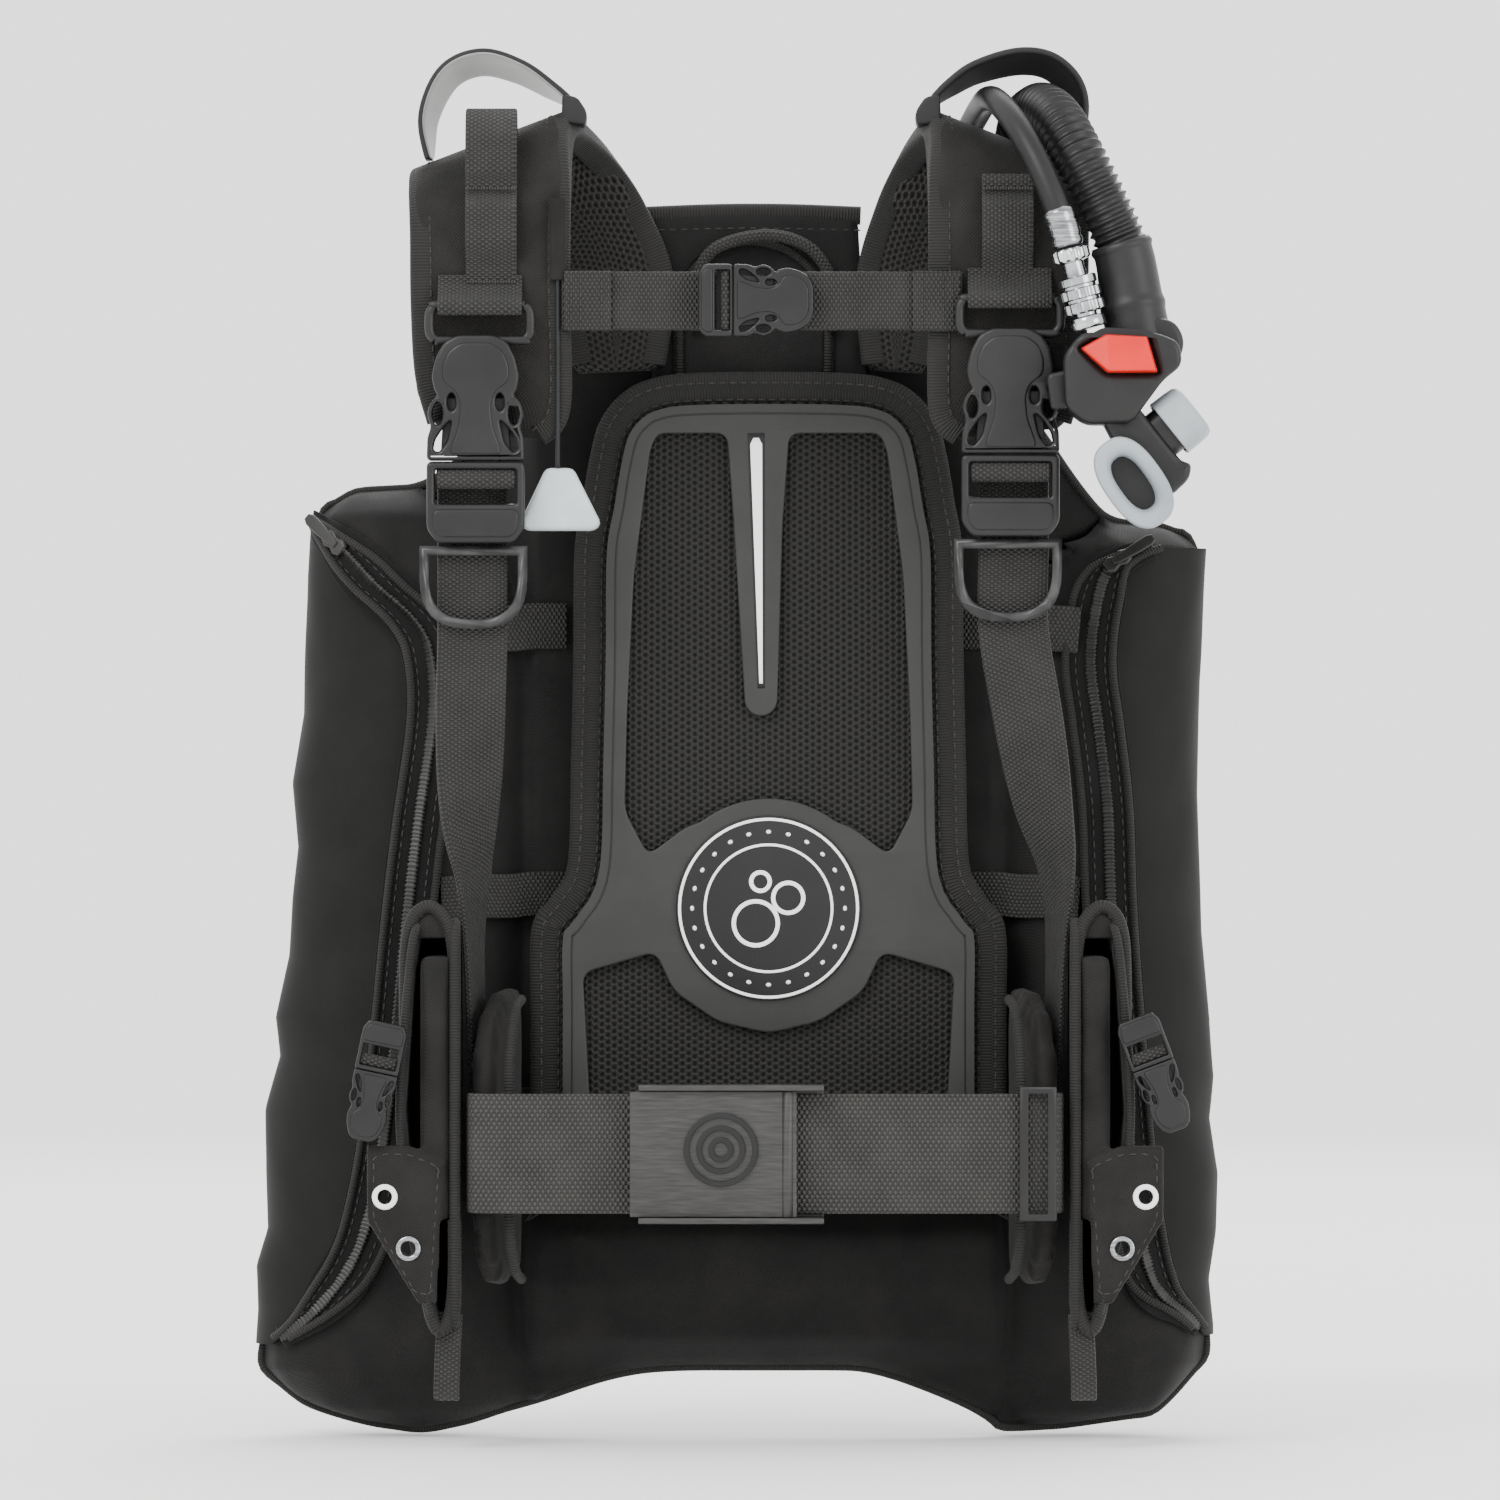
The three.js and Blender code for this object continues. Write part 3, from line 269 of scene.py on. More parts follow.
# Fabrics. Real thread spacing is about 0.5 mm; it is drawn at 1.2 mm or more so that it shows.
finish = {
    # dull black coated nylon with a fine thread grid
    "shell": wovenCloth("packclothNylon", "#0f0e0e", "#1b1a19", 1.3 * mm, "object"),
    # smoother, darker laminate that shows long soft shades
    "side": wovenCloth("laminatedNylon", "#0c0c0b", "#141413", 1.2 * mm, "uv", 0.66, 0.1, 0.06),
    # coarser black weave, its raised threads painted lighter as a painted highlight
    "strap": wovenCloth("corduraStrap", "#121211", "#242221", 1.5 * mm, "uv", 0.75, 0.6),
    # the same weave on inflated pieces
    "pouch": wovenCloth("corduraPouch", "#121211", "#232120", 1.5 * mm, "object", 0.75, 0.5),
    # grey knit with rows of holes dyed black, painted shade in the openings
    "mesh": spacerMesh("knittedAirMesh", "#2c2b2a", "#000000", 3.1 * mm, "object"),
    # the mesh as lining
    "meshUv": spacerMesh("knittedAirMeshLining", "#2e2c2b", "#000000", 2.9 * mm, "uv"),
    # fine ribs across a folded tape, a shade lighter than the cloth
    "binding": ribbedWebbing("grosgrainBinding", "#141413", "#242322", 1.3 * mm, 40 * mm, 0.7, 0.5),
    # heavy ribbed columns that catch the light
    "webbing": ribbedWebbing("wovenWebbing", "#161615", "#353433", 2.0 * mm, 3.2 * mm),
    # wider, paler ribs for the 50 mm belt
    "beltWebbing": ribbedWebbing("heavyBeltWebbing", "#1b1b1a", "#403f3d", 2.3 * mm, 3.6 * mm),
    # twisted thread, a little glossy
    "thread": wovenCloth("bondedThread", "#262524", "#3c3b39", 0.8 * mm, "object", 0.55, 0.4),
    # flat black tape
    "zipTape": wovenCloth("zipTape", "#090908", "#151414", 1.0 * mm, "uv", 0.8, 0.4),
    # small glints on moulded teeth
    "zipCoil": mouldedPlastic("zipCoilNylon", "#161615", "#2a2928", 0.32),
    # satin black plastic with soft highlights on its radii
    "buckle": mouldedPlastic("acetalMoulded", "#111111", "#1e1e1e", 0.36, 0.6, 0.2),
    # flat black, grained plastic
    "plate": mouldedPlastic("backplateMoulded", "#0f0f0f", "#191919", 0.5, 0.8, 0.3),
    # dark grey smooth sheet, the palest of the large parts
    "frame": mouldedPlastic("weldedUrethane", "#222221", "#2c2c2b", 0.46, 1.2, 0.2),
    # matt black rubber
    "arch": mouldedPlastic("archRubber", "#101010", "#1a1a1a", 0.58, 0.7, 0.2),
    # pale inner face, a painted highlight on the left arch's underside
    "archPaintedHighlight": mouldedPlastic("archInnerFacePaintedHighlight", "#777776", "#9b9b9a", 0.3, 0.7, 0.1),
    # rough matt rubber
    "seat": mouldedPlastic("seatRubber", "#0d0d0d", "#181818", 0.65, 0.9, 0.4),
    # satin rubber, bright along each rib
    "hose": mouldedPlastic("hoseRubber", "#0f0f0f", "#1a1a1a", 0.38, 0.6, 0.2),
    # smoother rubber with long highlights
    "lpHose": mouldedPlastic("pressureHoseRubber", "#0e0e0e", "#181818", 0.42, 0.5, 0.3),
    # satin black housing
    "inflator": mouldedPlastic("inflatorNylon", "#121212", "#1f1f1f", 0.4, 0.5, 0.2),
    # saturated red with a soft shine
    "red": mouldedPlastic("redButtonAcetal", "#bd0f0a", "#d92018", 0.32, 0.6, 0.08),
    # pale cool grey, half matt
    "grey": mouldedPlastic("greyButtonAcetal", "#8b9295", "#a5acb0", 0.4, 0.6, 0.08),
    # milky grey with a little light in it
    "silicone": mouldedPlastic("siliconeMouthpiece", "#868e92", "#a0a8ac", 0.48, 0.7, 0.1,
        Subsurface_Weight=0.08, Subsurface_Scale=0.01),
    # the palest grey plastic
    "toggle": mouldedPlastic("toggleNylon", "#a9b1b4", "#c3cacc", 0.45, 0.6, 0.1),
    # dark coated wire with a thin bright line
    "steel": metalFinish("coatedSteelRing", "#2c2c2c", "#4a4a4a", 0.36, (1, 1, 1), 0.7),
    # brushed dark steel, streaked lengthwise
    "belt": metalFinish("blackenedBuckleSteel", "#2a2a29", "#3e3d3c", 0.42, (1, 1, 12), 0.45, 0.08),
    # bright mirror with dark bands, the bands painted into its colour as painted reflections
    "chrome": metalFinish("chromedBrass", "#7d7f82", "#d2d4d6", 0.12, (1, 1, 1), 1.0, 0.02),
    # turned rings, less bright than the chrome
    "ferrule": metalFinish("turnedFerrule", "#626466", "#a9abad", 0.2, (1, 1, 14), 1.0),
    # near white print and tape
    "reflective": mouldedPlastic("reflectiveTape", "#e9e9e8", "#f6f6f5", 0.35, 0.5, 0.3),
    # blue-black elastic
    "bungee": mouldedPlastic("bungeeCord", "#121314", "#202224", 0.6, 0.4, 0.5),
}
print("finishes made:", len(finish))


def pointsAt(x, y, z):
    # points (x, y, z) in metres from numbers or arrays in millimetres, spread to one shape
    return np.stack(np.broadcast_arrays(x, y, z), -1) * mm


def fullTurn(count):
    # angles 2 pi k/count
    return np.linspace(0, 2 * np.pi, count, endpoint=False)


def circleAt(x, y, z, radius, count):
    # centre + radius * (cos a, sin a) in X and Z, and the outward direction (cos a, 0, sin a) of each point
    a = fullTurn(count)
    return pointsAt(x + radius * np.cos(a), y, z + radius * np.sin(a)), np.stack([np.cos(a), 0 * a,
        np.sin(a)], 1)


def widths(factors):
    # scale of a sweep whose width changes and whose thickness stays: (factor, 1)
    return np.stack([factors, np.ones(len(factors))], 1)


def unit(a):
    # a/|a| for each vector
    return a / np.maximum(np.linalg.norm(a, axis=-1, keepdims=True), 1e-12)


def smoothPath(points, count, closed=False):
    # cubic Hermite through the points with tangents (next - previous)/2, then equal steps of arc length
    p = np.asarray(points, float)
    if closed:
        p = np.vstack([p, p[:1]])
    t = np.arange(len(p))
    if closed:
        m = (np.roll(p[:-1], -1, 0) - np.roll(p[:-1], 1, 0)) / 2
        m = np.vstack([m, m[:1]])
    else:
        m = np.gradient(p, axis=0)
    f = np.linspace(0, len(p) - 1, max(count * 4, 400))
    i = np.minimum(f.astype(int), len(p) - 2)
    s = (f - i)[:, None]
    fine = ((2 * s ** 3 - 3 * s ** 2 + 1) * p[i] + (s ** 3 - 2 * s ** 2 + s) * m[i]
            + (3 * s ** 2 - 2 * s ** 3) * p[i + 1] + (s ** 3 - s ** 2) * m[i + 1])
    steps = np.r_[0, np.cumsum(np.linalg.norm(np.diff(fine, axis=0), axis=1))]
    at = np.linspace(0, steps[-1], count + 1 if closed else count)
    even = np.stack([np.interp(at, steps, fine[:, a]) for a in range(p.shape[1])], 1)
    return even[:-1] if closed else even


def pathLength(path):
    # sum of |p(k + 1) - p(k)|
    return float(np.linalg.norm(np.diff(path, axis=0), axis=1).sum())


def tangents(path, closed=False):
    # direction of p(k + 1) - p(k - 1)
    if closed:
        return unit(np.roll(path, -1, 0) - np.roll(path, 1, 0))
    return unit(np.gradient(path, axis=0))


def newPiece(name, verts, faces, material, body="root", uv=None, smooth=True, outward=True, parts=None,
        second=None):
    # a mesh object at the origin; uv gives one pair per corner, in metres; parts picks the second material
    # by face
    mesh = bpy.data.meshes.new(name)
    mesh.from_pydata(verts.reshape(-1, 3).tolist(), [], faces if isinstance(faces, list) else faces.tolist())
    if uv is not None:
        layer = mesh.uv_layers.new(name="surface")
        layer.data.foreach_set("uv", np.asarray(uv, np.float32).ravel())
    mesh.materials.append(material)
    if second is not None:
        mesh.materials.append(second)
        mesh.polygons.foreach_set("material_index", np.asarray(parts, np.int32))
    piece = bpy.data.objects.new(name, mesh)
    bpy.context.scene.collection.objects.link(piece)
    if outward:
        work = bmesh.new()
        work.from_mesh(mesh)
        bmesh.ops.remove_doubles(work, verts=work.verts, dist=2e-6)
        bmesh.ops.recalc_face_normals(work, faces=work.faces)
        work.to_mesh(mesh)
        work.free()
    mesh.polygons.foreach_set("use_smooth", np.full(len(mesh.polygons), smooth))
    if body:
        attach(piece, body)
    return piece


def quads(n, m, closeN=False, closeM=False):
    # four corner numbers of each cell of an n by m grid, wrapped where it closes
    i = np.arange(n if closeN else n - 1)[:, None]
    j = np.arange(m if closeM else m - 1)[None, :]
    a, b = (i + 1) % n, (j + 1) % m
    return np.stack([i * m + j, i * m + b, a * m + b, a * m + j], -1).reshape(-1, 4)


def gridUv(u, v, closeN, closeM, n, m):
    # corner pairs for quads(): u runs along m and v along n, and the wrapped cells use the last step's value
    i = np.arange(n if closeN else n - 1)[:, None]
    j = np.arange(m if closeM else m - 1)[None, :]
    i, j = np.broadcast_arrays(i, j)
    pairs = [(i, j), (i, j + 1), (i + 1, j + 1), (i + 1, j)]
    return np.stack([np.stack([u[b], v[a]], -1) for a, b in pairs], 2).reshape(-1, 2)


def sweep(name, path, side, profile, material, body="root", closed=False, up=None, scale=None, second=None,
        lining=None):
    # profile (m, 2) in (side, up) carried along the path: point = path + a*side + b*up, up = side x tangent
    path = np.asarray(path, float)
    n, m = len(path), profile.shape[-2]
    t = tangents(path, closed)
    side = unit(np.broadcast_to(side, path.shape) - (np.broadcast_to(side, path.shape) * t).sum(1,
        keepdims=True) * t)
    up = np.cross(t, side) if up is None else up
    prof = np.broadcast_to(profile, (n, m, 2)).astype(float)
    if scale is not None:
        prof = prof * np.asarray(scale, float).reshape(n, 1, -1)
    pts = path[:, None] + prof[..., :1] * side[:, None] + prof[..., 1:] * up[:, None]
    outline = np.vstack([prof[n // 2], prof[n // 2][:1]])
    ring = np.r_[0, np.cumsum(np.linalg.norm(np.diff(outline, axis=0), axis=1))]
    along = np.r_[0, np.cumsum(np.linalg.norm(np.diff(path, axis=0), axis=1))]
    along = np.r_[along, along[-1] + np.linalg.norm(path[0] - path[-1])]
    faces = quads(n, m, closed, True)
    uv = gridUv(ring, along, closed, True, n, m)
    if closed:
        return newPiece(name, pts, faces, material, body, uv)
    cap0, cap1 = list(range(m)), list(range((n - 1) * m, n * m))[::-1]
    uv = np.vstack([uv, prof[0], prof[-1][::-1]])
    parts = None if second is None else np.r_[np.tile(lining, n - 1), 0, 0]
    return newPiece(name, pts, faces.tolist() + [cap0, cap1], material, body, uv, parts=parts, second=second)


def flatSection(width, thick, corners=4):
    # rounded rectangle, the section of webbing: quarter circles of radius thick/2 at its two edges
    a = np.linspace(-np.pi / 2, np.pi / 2, corners * 2 + 1)
    r = thick / 2
    x = np.r_[width / 2 - r + r * np.cos(a), np.linspace(width / 2 - r, -(width / 2 - r), 8)[1:-1],
              -(width / 2 - r) - r * np.cos(a), np.linspace(-(width / 2 - r), width / 2 - r, 8)[1:-1]]
    y = np.r_[r * np.sin(a), np.full(6, r), r * np.sin(-a), np.full(6, -r)]
    return np.stack([x, y], 1)


def boxSection(width, thick, radius, steps=5):
    # rectangle with quarter-round corners
    a = np.radians(np.linspace(0, 90, steps))
    corner = np.stack([np.cos(a), np.sin(a)], 1) * radius
    x, y = width / 2 - radius, thick / 2 - radius
    parts = [corner + [x, y], corner @ [[0, 1], [-1, 0]] + [-x, y], -corner + [-x, -y],
        corner @ [[0, -1], [1, 0]] + [x, -y]]
    return np.vstack(parts)


def roundSection(radius, count=16):
    # radius * (cos a, sin a)
    a = fullTurn(count)
    return np.stack([radius * np.cos(a), radius * np.sin(a)], 1)


def blendEdges(x, low, high):
    # 0 below low, 1 above high, 3t^2 - 2t^3 between
    t = np.clip((x - low) / (high - low), 0, 1)
    return t * t * (3 - 2 * t)


def stitchRow(name, path, normal, body="root", closed=False, stitch=3.2 * mm, pitch=4.6 * mm,
        radius=0.38 * mm):
    # one small bead per stitch: a five-ring capsule set into the path's own frame
    length = pathLength(np.vstack([path, path[:1]]) if closed else path)
    count = max(int(length / pitch), 3)
    at = smoothPath(path, count, closed)
    t = tangents(at, closed)
    n = unit(np.broadcast_to(normal, at.shape) if np.ndim(normal) == 1 else smoothPath(normal, count, closed))
    s = np.cross(n, t)
    ringAt = np.array([-0.5, -0.32, 0, 0.32, 0.5]) * stitch
    ringR = np.array([0.25, 0.85, 1, 0.85, 0.25]) * radius
    a = fullTurn(6)
    bead = np.stack([np.repeat(ringAt, 6), np.outer(ringR, np.cos(a)).ravel(),
        np.outer(ringR, np.sin(a)).ravel()], 1)
    pts = (at[:, None] + bead[None, :, :1] * t[:, None] + bead[None, :, 1:2] * s[:, None]
        + bead[None, :, 2:] * n[:, None])
    one = quads(5, 6, False, True)
    faces = (one[None] + 30 * np.arange(count)[:, None, None]).reshape(-1, 4).tolist()
    for k in range(count):
        faces += [[30 * k + j for j in range(5, -1, -1)], [30 * k + 24 + j for j in range(6)]]
    made = newPiece(name, pts, faces, finish["thread"], body, outward=False)
    work = bmesh.new()
    work.from_mesh(made.data)
    bmesh.ops.recalc_face_normals(work, faces=work.faces)
    work.to_mesh(made.data)
    work.free()
    return made


def pillow(name, front, rear, material, body="root", uv=None):
    # two grids with a common border, closed along it
    n, m = front.shape[:2]
    both = np.vstack([front.reshape(-1, 3), rear.reshape(-1, 3)])
    f = quads(n, m)
    faces = np.vstack([f, (f + n * m)[:, ::-1]])
    if uv is None:
        return newPiece(name, both, faces, material, body)
    u, v = uv
    one = gridUv(u, v, False, False, n, m).reshape(-1, 4, 2)
    return newPiece(name, both, faces, material, body, np.vstack([one, one[:, ::-1]]).reshape(-1, 2))


def refinedCopy(node, material, bevel=0.5 * mm, angle=38):
    # a CAD node's own shape with its triangles merged and its sharp edges rounded by the mould radius
    source = frame["nodes"][node]
    mesh = source.data.copy()
    work = bmesh.new()
    work.from_mesh(mesh)
    bmesh.ops.remove_doubles(work, verts=work.verts, dist=4e-6)
    bmesh.ops.dissolve_limit(work, angle_limit=0.02, verts=work.verts, edges=work.edges)
    work.to_mesh(mesh)
    work.free()
    mesh.materials.clear()
    mesh.materials.append(material)
    piece = bpy.data.objects.new(node + "_moulded", mesh)
    bpy.context.scene.collection.objects.link(piece)
    mesh.polygons.foreach_set("use_smooth", np.ones(len(mesh.polygons), bool))
    if bevel:
        edge = piece.modifiers.new("mouldRadius", "BEVEL")
        edge.width = bevel
        edge.segments = 2
        edge.limit_method = "ANGLE"
        edge.angle_limit = np.radians(angle)
        edge.harden_normals = True
        edge.use_clamp_overlap = True
    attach(piece, bodyOf[node])
    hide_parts(node)
    return piece


def sharpen(piece, angle=35):
    # edges steeper than the angle stay sharp in the shading
    with bpy.context.temp_override(object=piece, active_object=piece, selected_editable_objects=[piece]):
        bpy.ops.object.shade_smooth_by_angle(angle=np.radians(angle))


bodyOf = {n: b for b, o in frame["bodies"].items() for n in frame["nodes"] if frame["nodes"][n].parent == o}

# Hard parts: each keeps its CAD shape, with mould radii and a finish.
hardParts = {
    "backplate": ("plate", 0.8), "tank_cradle": ("seat", 1.2), "badge": ("plate", 0.5),
    "d_ring_left": ("steel", 0), "d_ring_right": ("steel", 0),
    "belt_buckle_frame": ("belt", 0.5), "belt_cam_plate": ("belt", 0.6), "belt_slider": ("buckle", 0.5),
    "tank_buckle_frame": ("buckle", 0.6), "tank_buckle_lever": ("buckle", 0.8),
    "lp_hose_fitting": ("chrome", 0.25), "dump_toggle": ("toggle", 2.2),
}
moulded = {n: refinedCopy(n, finish[f], b * mm) for n, (f, b) in hardParts.items()}
print("hard parts finished:", len(moulded))

# Air cell: one continuous skin of packcloth, two lobes and a flat middle.
airCell = {
    # z, inner x, outer x, half depth of each lobe, in millimetres
    "left": [(118, 150, 190, 14), (106, 136, 198, 24), (80, 112, 200, 31), (40, 97, 201, 35),
        (20, 97, 201.5, 35),
             (-10, 97, 206.5, 35), (-38, 97, 204, 35), (-60, 97, 206.5, 35), (-85, 97, 208, 35),
                 (-112, 97, 214, 35),
             (-129, 97, 212, 35), (-152, 97, 218, 35), (-180, 97, 218, 35), (-204, 97, 217, 35),
                 (-220, 97, 222, 35),
             (-240, 97, 221.5, 35), (-264, 97, 223, 32), (-282, 100, 212, 24), (-293, 132, 192, 9)],
    "right": [(102, 146, 184, 14), (92, 132, 193, 24), (70, 112, 192, 31), (35, 97, 190, 35),
        (-15, 97, 189, 35),
              (-75, 97, 191, 35), (-112, 97, 194.5, 35), (-138, 97, 196, 35), (-156, 97, 194, 35),
                  (-180, 97, 198, 35),
              (-205, 97, 197, 35), (-226, 97, 194, 35), (-246, 97, 196, 35), (-262, 97, 196, 31),
                  (-284, 100, 186, 23),
              (-292, 118, 168, 9)],
    # z, front y, rear y of the middle
    "middle": [(190, -14.3, -10.3), (-178, -14.3, -10.3), (-193, -14.3, -6), (-206, -21, 14),
        (-228, -27, 27), (-250, -22, 21), (-266, -9, 9)],
    "top": [(-198, 108), (-190, 117), (-160, 118.7), (-145, 127), (-122, 150), (-100, 178), (-88, 189),
            (88, 189), (108, 168), (126, 146), (146, 118), (160, 104), (184, 102), (192, 97)],
    "bottom": [(-224, -262), (-218, -277), (-200, -288), (-176, -292), (-147, -288), (-107, -279),
        (-88, -273), (-62, -266),
               (-40, -264), (45, -264), (59, -268), (80, -275), (120, -291), (150, -290), (184, -284),
                   (190, -272), (196, -258)],
    "dumpSeat": (-81.3, -225.8, 20.5),
}
cellY = 8


def rowAt(rows, z, column):
    # a column of the rows at height z, straight between rows
    table = np.array(sorted(rows), float)
    return np.interp(z, table[:, 0], table[:, column])


def lobeAt(side, z):
    # middle x, half width and half depth of a lobe at height z: half = (outer - inner - 4)/2
    inner, outer, depth = (rowAt(airCell[side], z, k) for k in (1, 2, 3))
    half = (outer - inner - 4) / 2
    return inner + half, half, depth


def sway(x, z, seed):
    # slow creases: a sum of sines of fixed directions, between about -1 and 1
    spots = np.random.default_rng(seed).uniform(-1, 1, (7, 4))
    total = sum(np.sin(x * a * 0.16 + z * b * 0.13 + 6 * c) * (0.6 + 0.4 * d) for a, b, c, d in spots)
    return total / 3.2


def cellSurface():
    # x runs between the lobes' outer edges and z between the top and bottom lines; the front is the smaller
    # of the lobes'
    # ellipses and the middle's plane, the rear the larger, eased by a soft minimum of 4 mm, and both meet
    # at the border
    s = 0.5 - 0.5 * np.cos(np.pi * np.linspace(0, 1, 241))
    s = 0.35 * np.linspace(0, 1, 241) + 0.65 * s
    t = np.linspace(0, 1, 181)
    top = np.interp(-198 + s * 390, *np.array(airCell["top"]).T)
    bottom = np.interp(-224 + s * 420.5, *np.array(airCell["bottom"]).T)
    smooth = np.ones(9) / 9
    top, bottom = (np.convolve(np.pad(c, 4, "edge"), smooth, "valid") for c in (top, bottom))
    z = top[None, :] + (bottom - top)[None, :] * t[:, None]
    mids = {k: lobeAt(k, z) for k in ("left", "right")}
    outL, outR = mids["left"][0] + mids["left"][1], mids["right"][0] + mids["right"][1]
    x = -outL + s[None, :] * (outL + outR)
    front, rear = rowAt(airCell["middle"], z, 1), rowAt(airCell["middle"], z, 2)
    edge = blendEdges(np.abs(x), 98, 116)
    front, rear = front * (1 - edge) + cellY * edge, rear * (1 - edge) + cellY * edge
    for side, sign in (("left", -1), ("right", 1)):
        middle, half, depth = mids[side]
        rise = depth * np.sqrt(np.clip(1 - ((sign * x - middle) / half) ** 2, 0, 1))
        k = 3.0
        front = np.where(rise > 0, -k * np.logaddexp(-front / k, -(cellY - rise) / k), front)
        rear = np.where(rise > 0, k * np.logaddexp(rear / k, (cellY + rise) / k), rear)
    ease = 1.0
    for far, reach in ((np.minimum(x + outL, outR - x), 7.0), (top[None, :] - z, 13.0),
            (z - bottom[None, :], 26.0)):
        ease = ease * np.sqrt(np.clip(1 - (1 - np.clip(far / reach, 0, 1)) ** 2, 0, 1))
    mid = (front + rear) / 2
    creases = sway(x, z, 5) * 1.5 + sway(x * 2.3, z * 0.7, 8) * 0.8
    below = blendEdges(-z, 190, 225)
    quiet = np.clip((rear - front) / 30, 0, 1) * (1 - below * 0.45)
    cx, cz, r = airCell["dumpSeat"]
    out = np.hypot(x - cx, z - cz)
    ring = 1.1 * np.exp(-((out - r) / 1.2) ** 2) + 0.5 * np.exp(-((out
        - r * 0.86) / 0.9) ** 2) + 0.25 * blendEdges(-out, -r, -r + 3)
    yf = mid + (front - mid) * ease - (creases * quiet + ring) * ease
    yr = mid + (rear - mid) * ease + sway(x, z, 9) * 1.4 * quiet * ease
    return np.stack([x, yf, z], -1) * mm, np.stack([x, yr, z], -1) * mm


front, rear = cellSurface()
airCellSkin = pillow("air_cell_skin", front, rear, finish["shell"])
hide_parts("air_cell_left", "air_cell_right", "air_cell_center")
cellRim = np.vstack([front[0], front[1:, -1], front[-1, ::-1][1:], front[::-1, 0][1:-1]])
sweep("air_cell_piping", smoothPath(cellRim[::6], 500, True), (0, 1, 0), roundSection(1.9 * mm, 10),
    finish["binding"], closed=True)
print("air cell made")

# Side panels: smooth shells over the lobes, from the zip round to the rear.
zipRows = {
    "left": [(104, 196), (98, 190), (88, 180), (75, 168), (62, 154), (48, 146), (20, 144), (-26, 150),
        (-70, 155),
             (-150, 163), (-196, 171), (-220, 180), (-240, 196), (-254, 214)],
    "right": [(92, 168), (87, 156), (80, 148), (62, 143), (40, 141), (16, 144), (-20, 148), (-70, 150),
              (-150, 156), (-196, 161), (-226, 168), (-240, 182), (-250, 191)],
}


def onLobe(side, z, angle, off):
    # x = middle + (half + off) sin(angle), y = 8 - (depth + off) cos(angle), with the left side mirrored
    middle, half, depth = lobeAt(side, z)
    x = middle + (half + off) * np.sin(angle)
    return np.stack([x * (-1 if side == "left" else 1), cellY - (depth + off) * np.cos(angle), z + 0 * x],
        -1) * mm


def zipAngle(side, z):
    # the angle on the lobe where x is the zip's: arcsin((zip x - middle)/(half width + 3))
    middle, half, _ = lobeAt(side, z)
    return np.arcsin(np.clip((rowAt(zipRows[side], z, 1) - middle) / (half + 3), -1, 1))


def sidePanel(side):
    # angle runs from the zip to 2.5 on every height; shell from 1.7 to 3.9 mm off the lobe, with slow creases
    top, low = zipRows[side][0][0], zipRows[side][-1][0]
    z = np.linspace(top, low, 150)[:, None]
    start = zipAngle(side, z)
    angle = start + (2.5 - start) * np.linspace(0, 1, 90)[None, :]
    zz = z + 0 * angle
    off = 3.4 + 0.5 * sway(angle * 60, zz, 3) * np.sin(np.linspace(0, np.pi, 90))[None, :]
    return pillow(f"side_panel_{side}_cloth", onLobe(side, zz, angle, off), onLobe(side, zz, angle, 1.7),
        finish["side"],
                  uv=(np.linspace(0, 0.14, 90), np.linspace(0, (top - low) * mm, 150)))


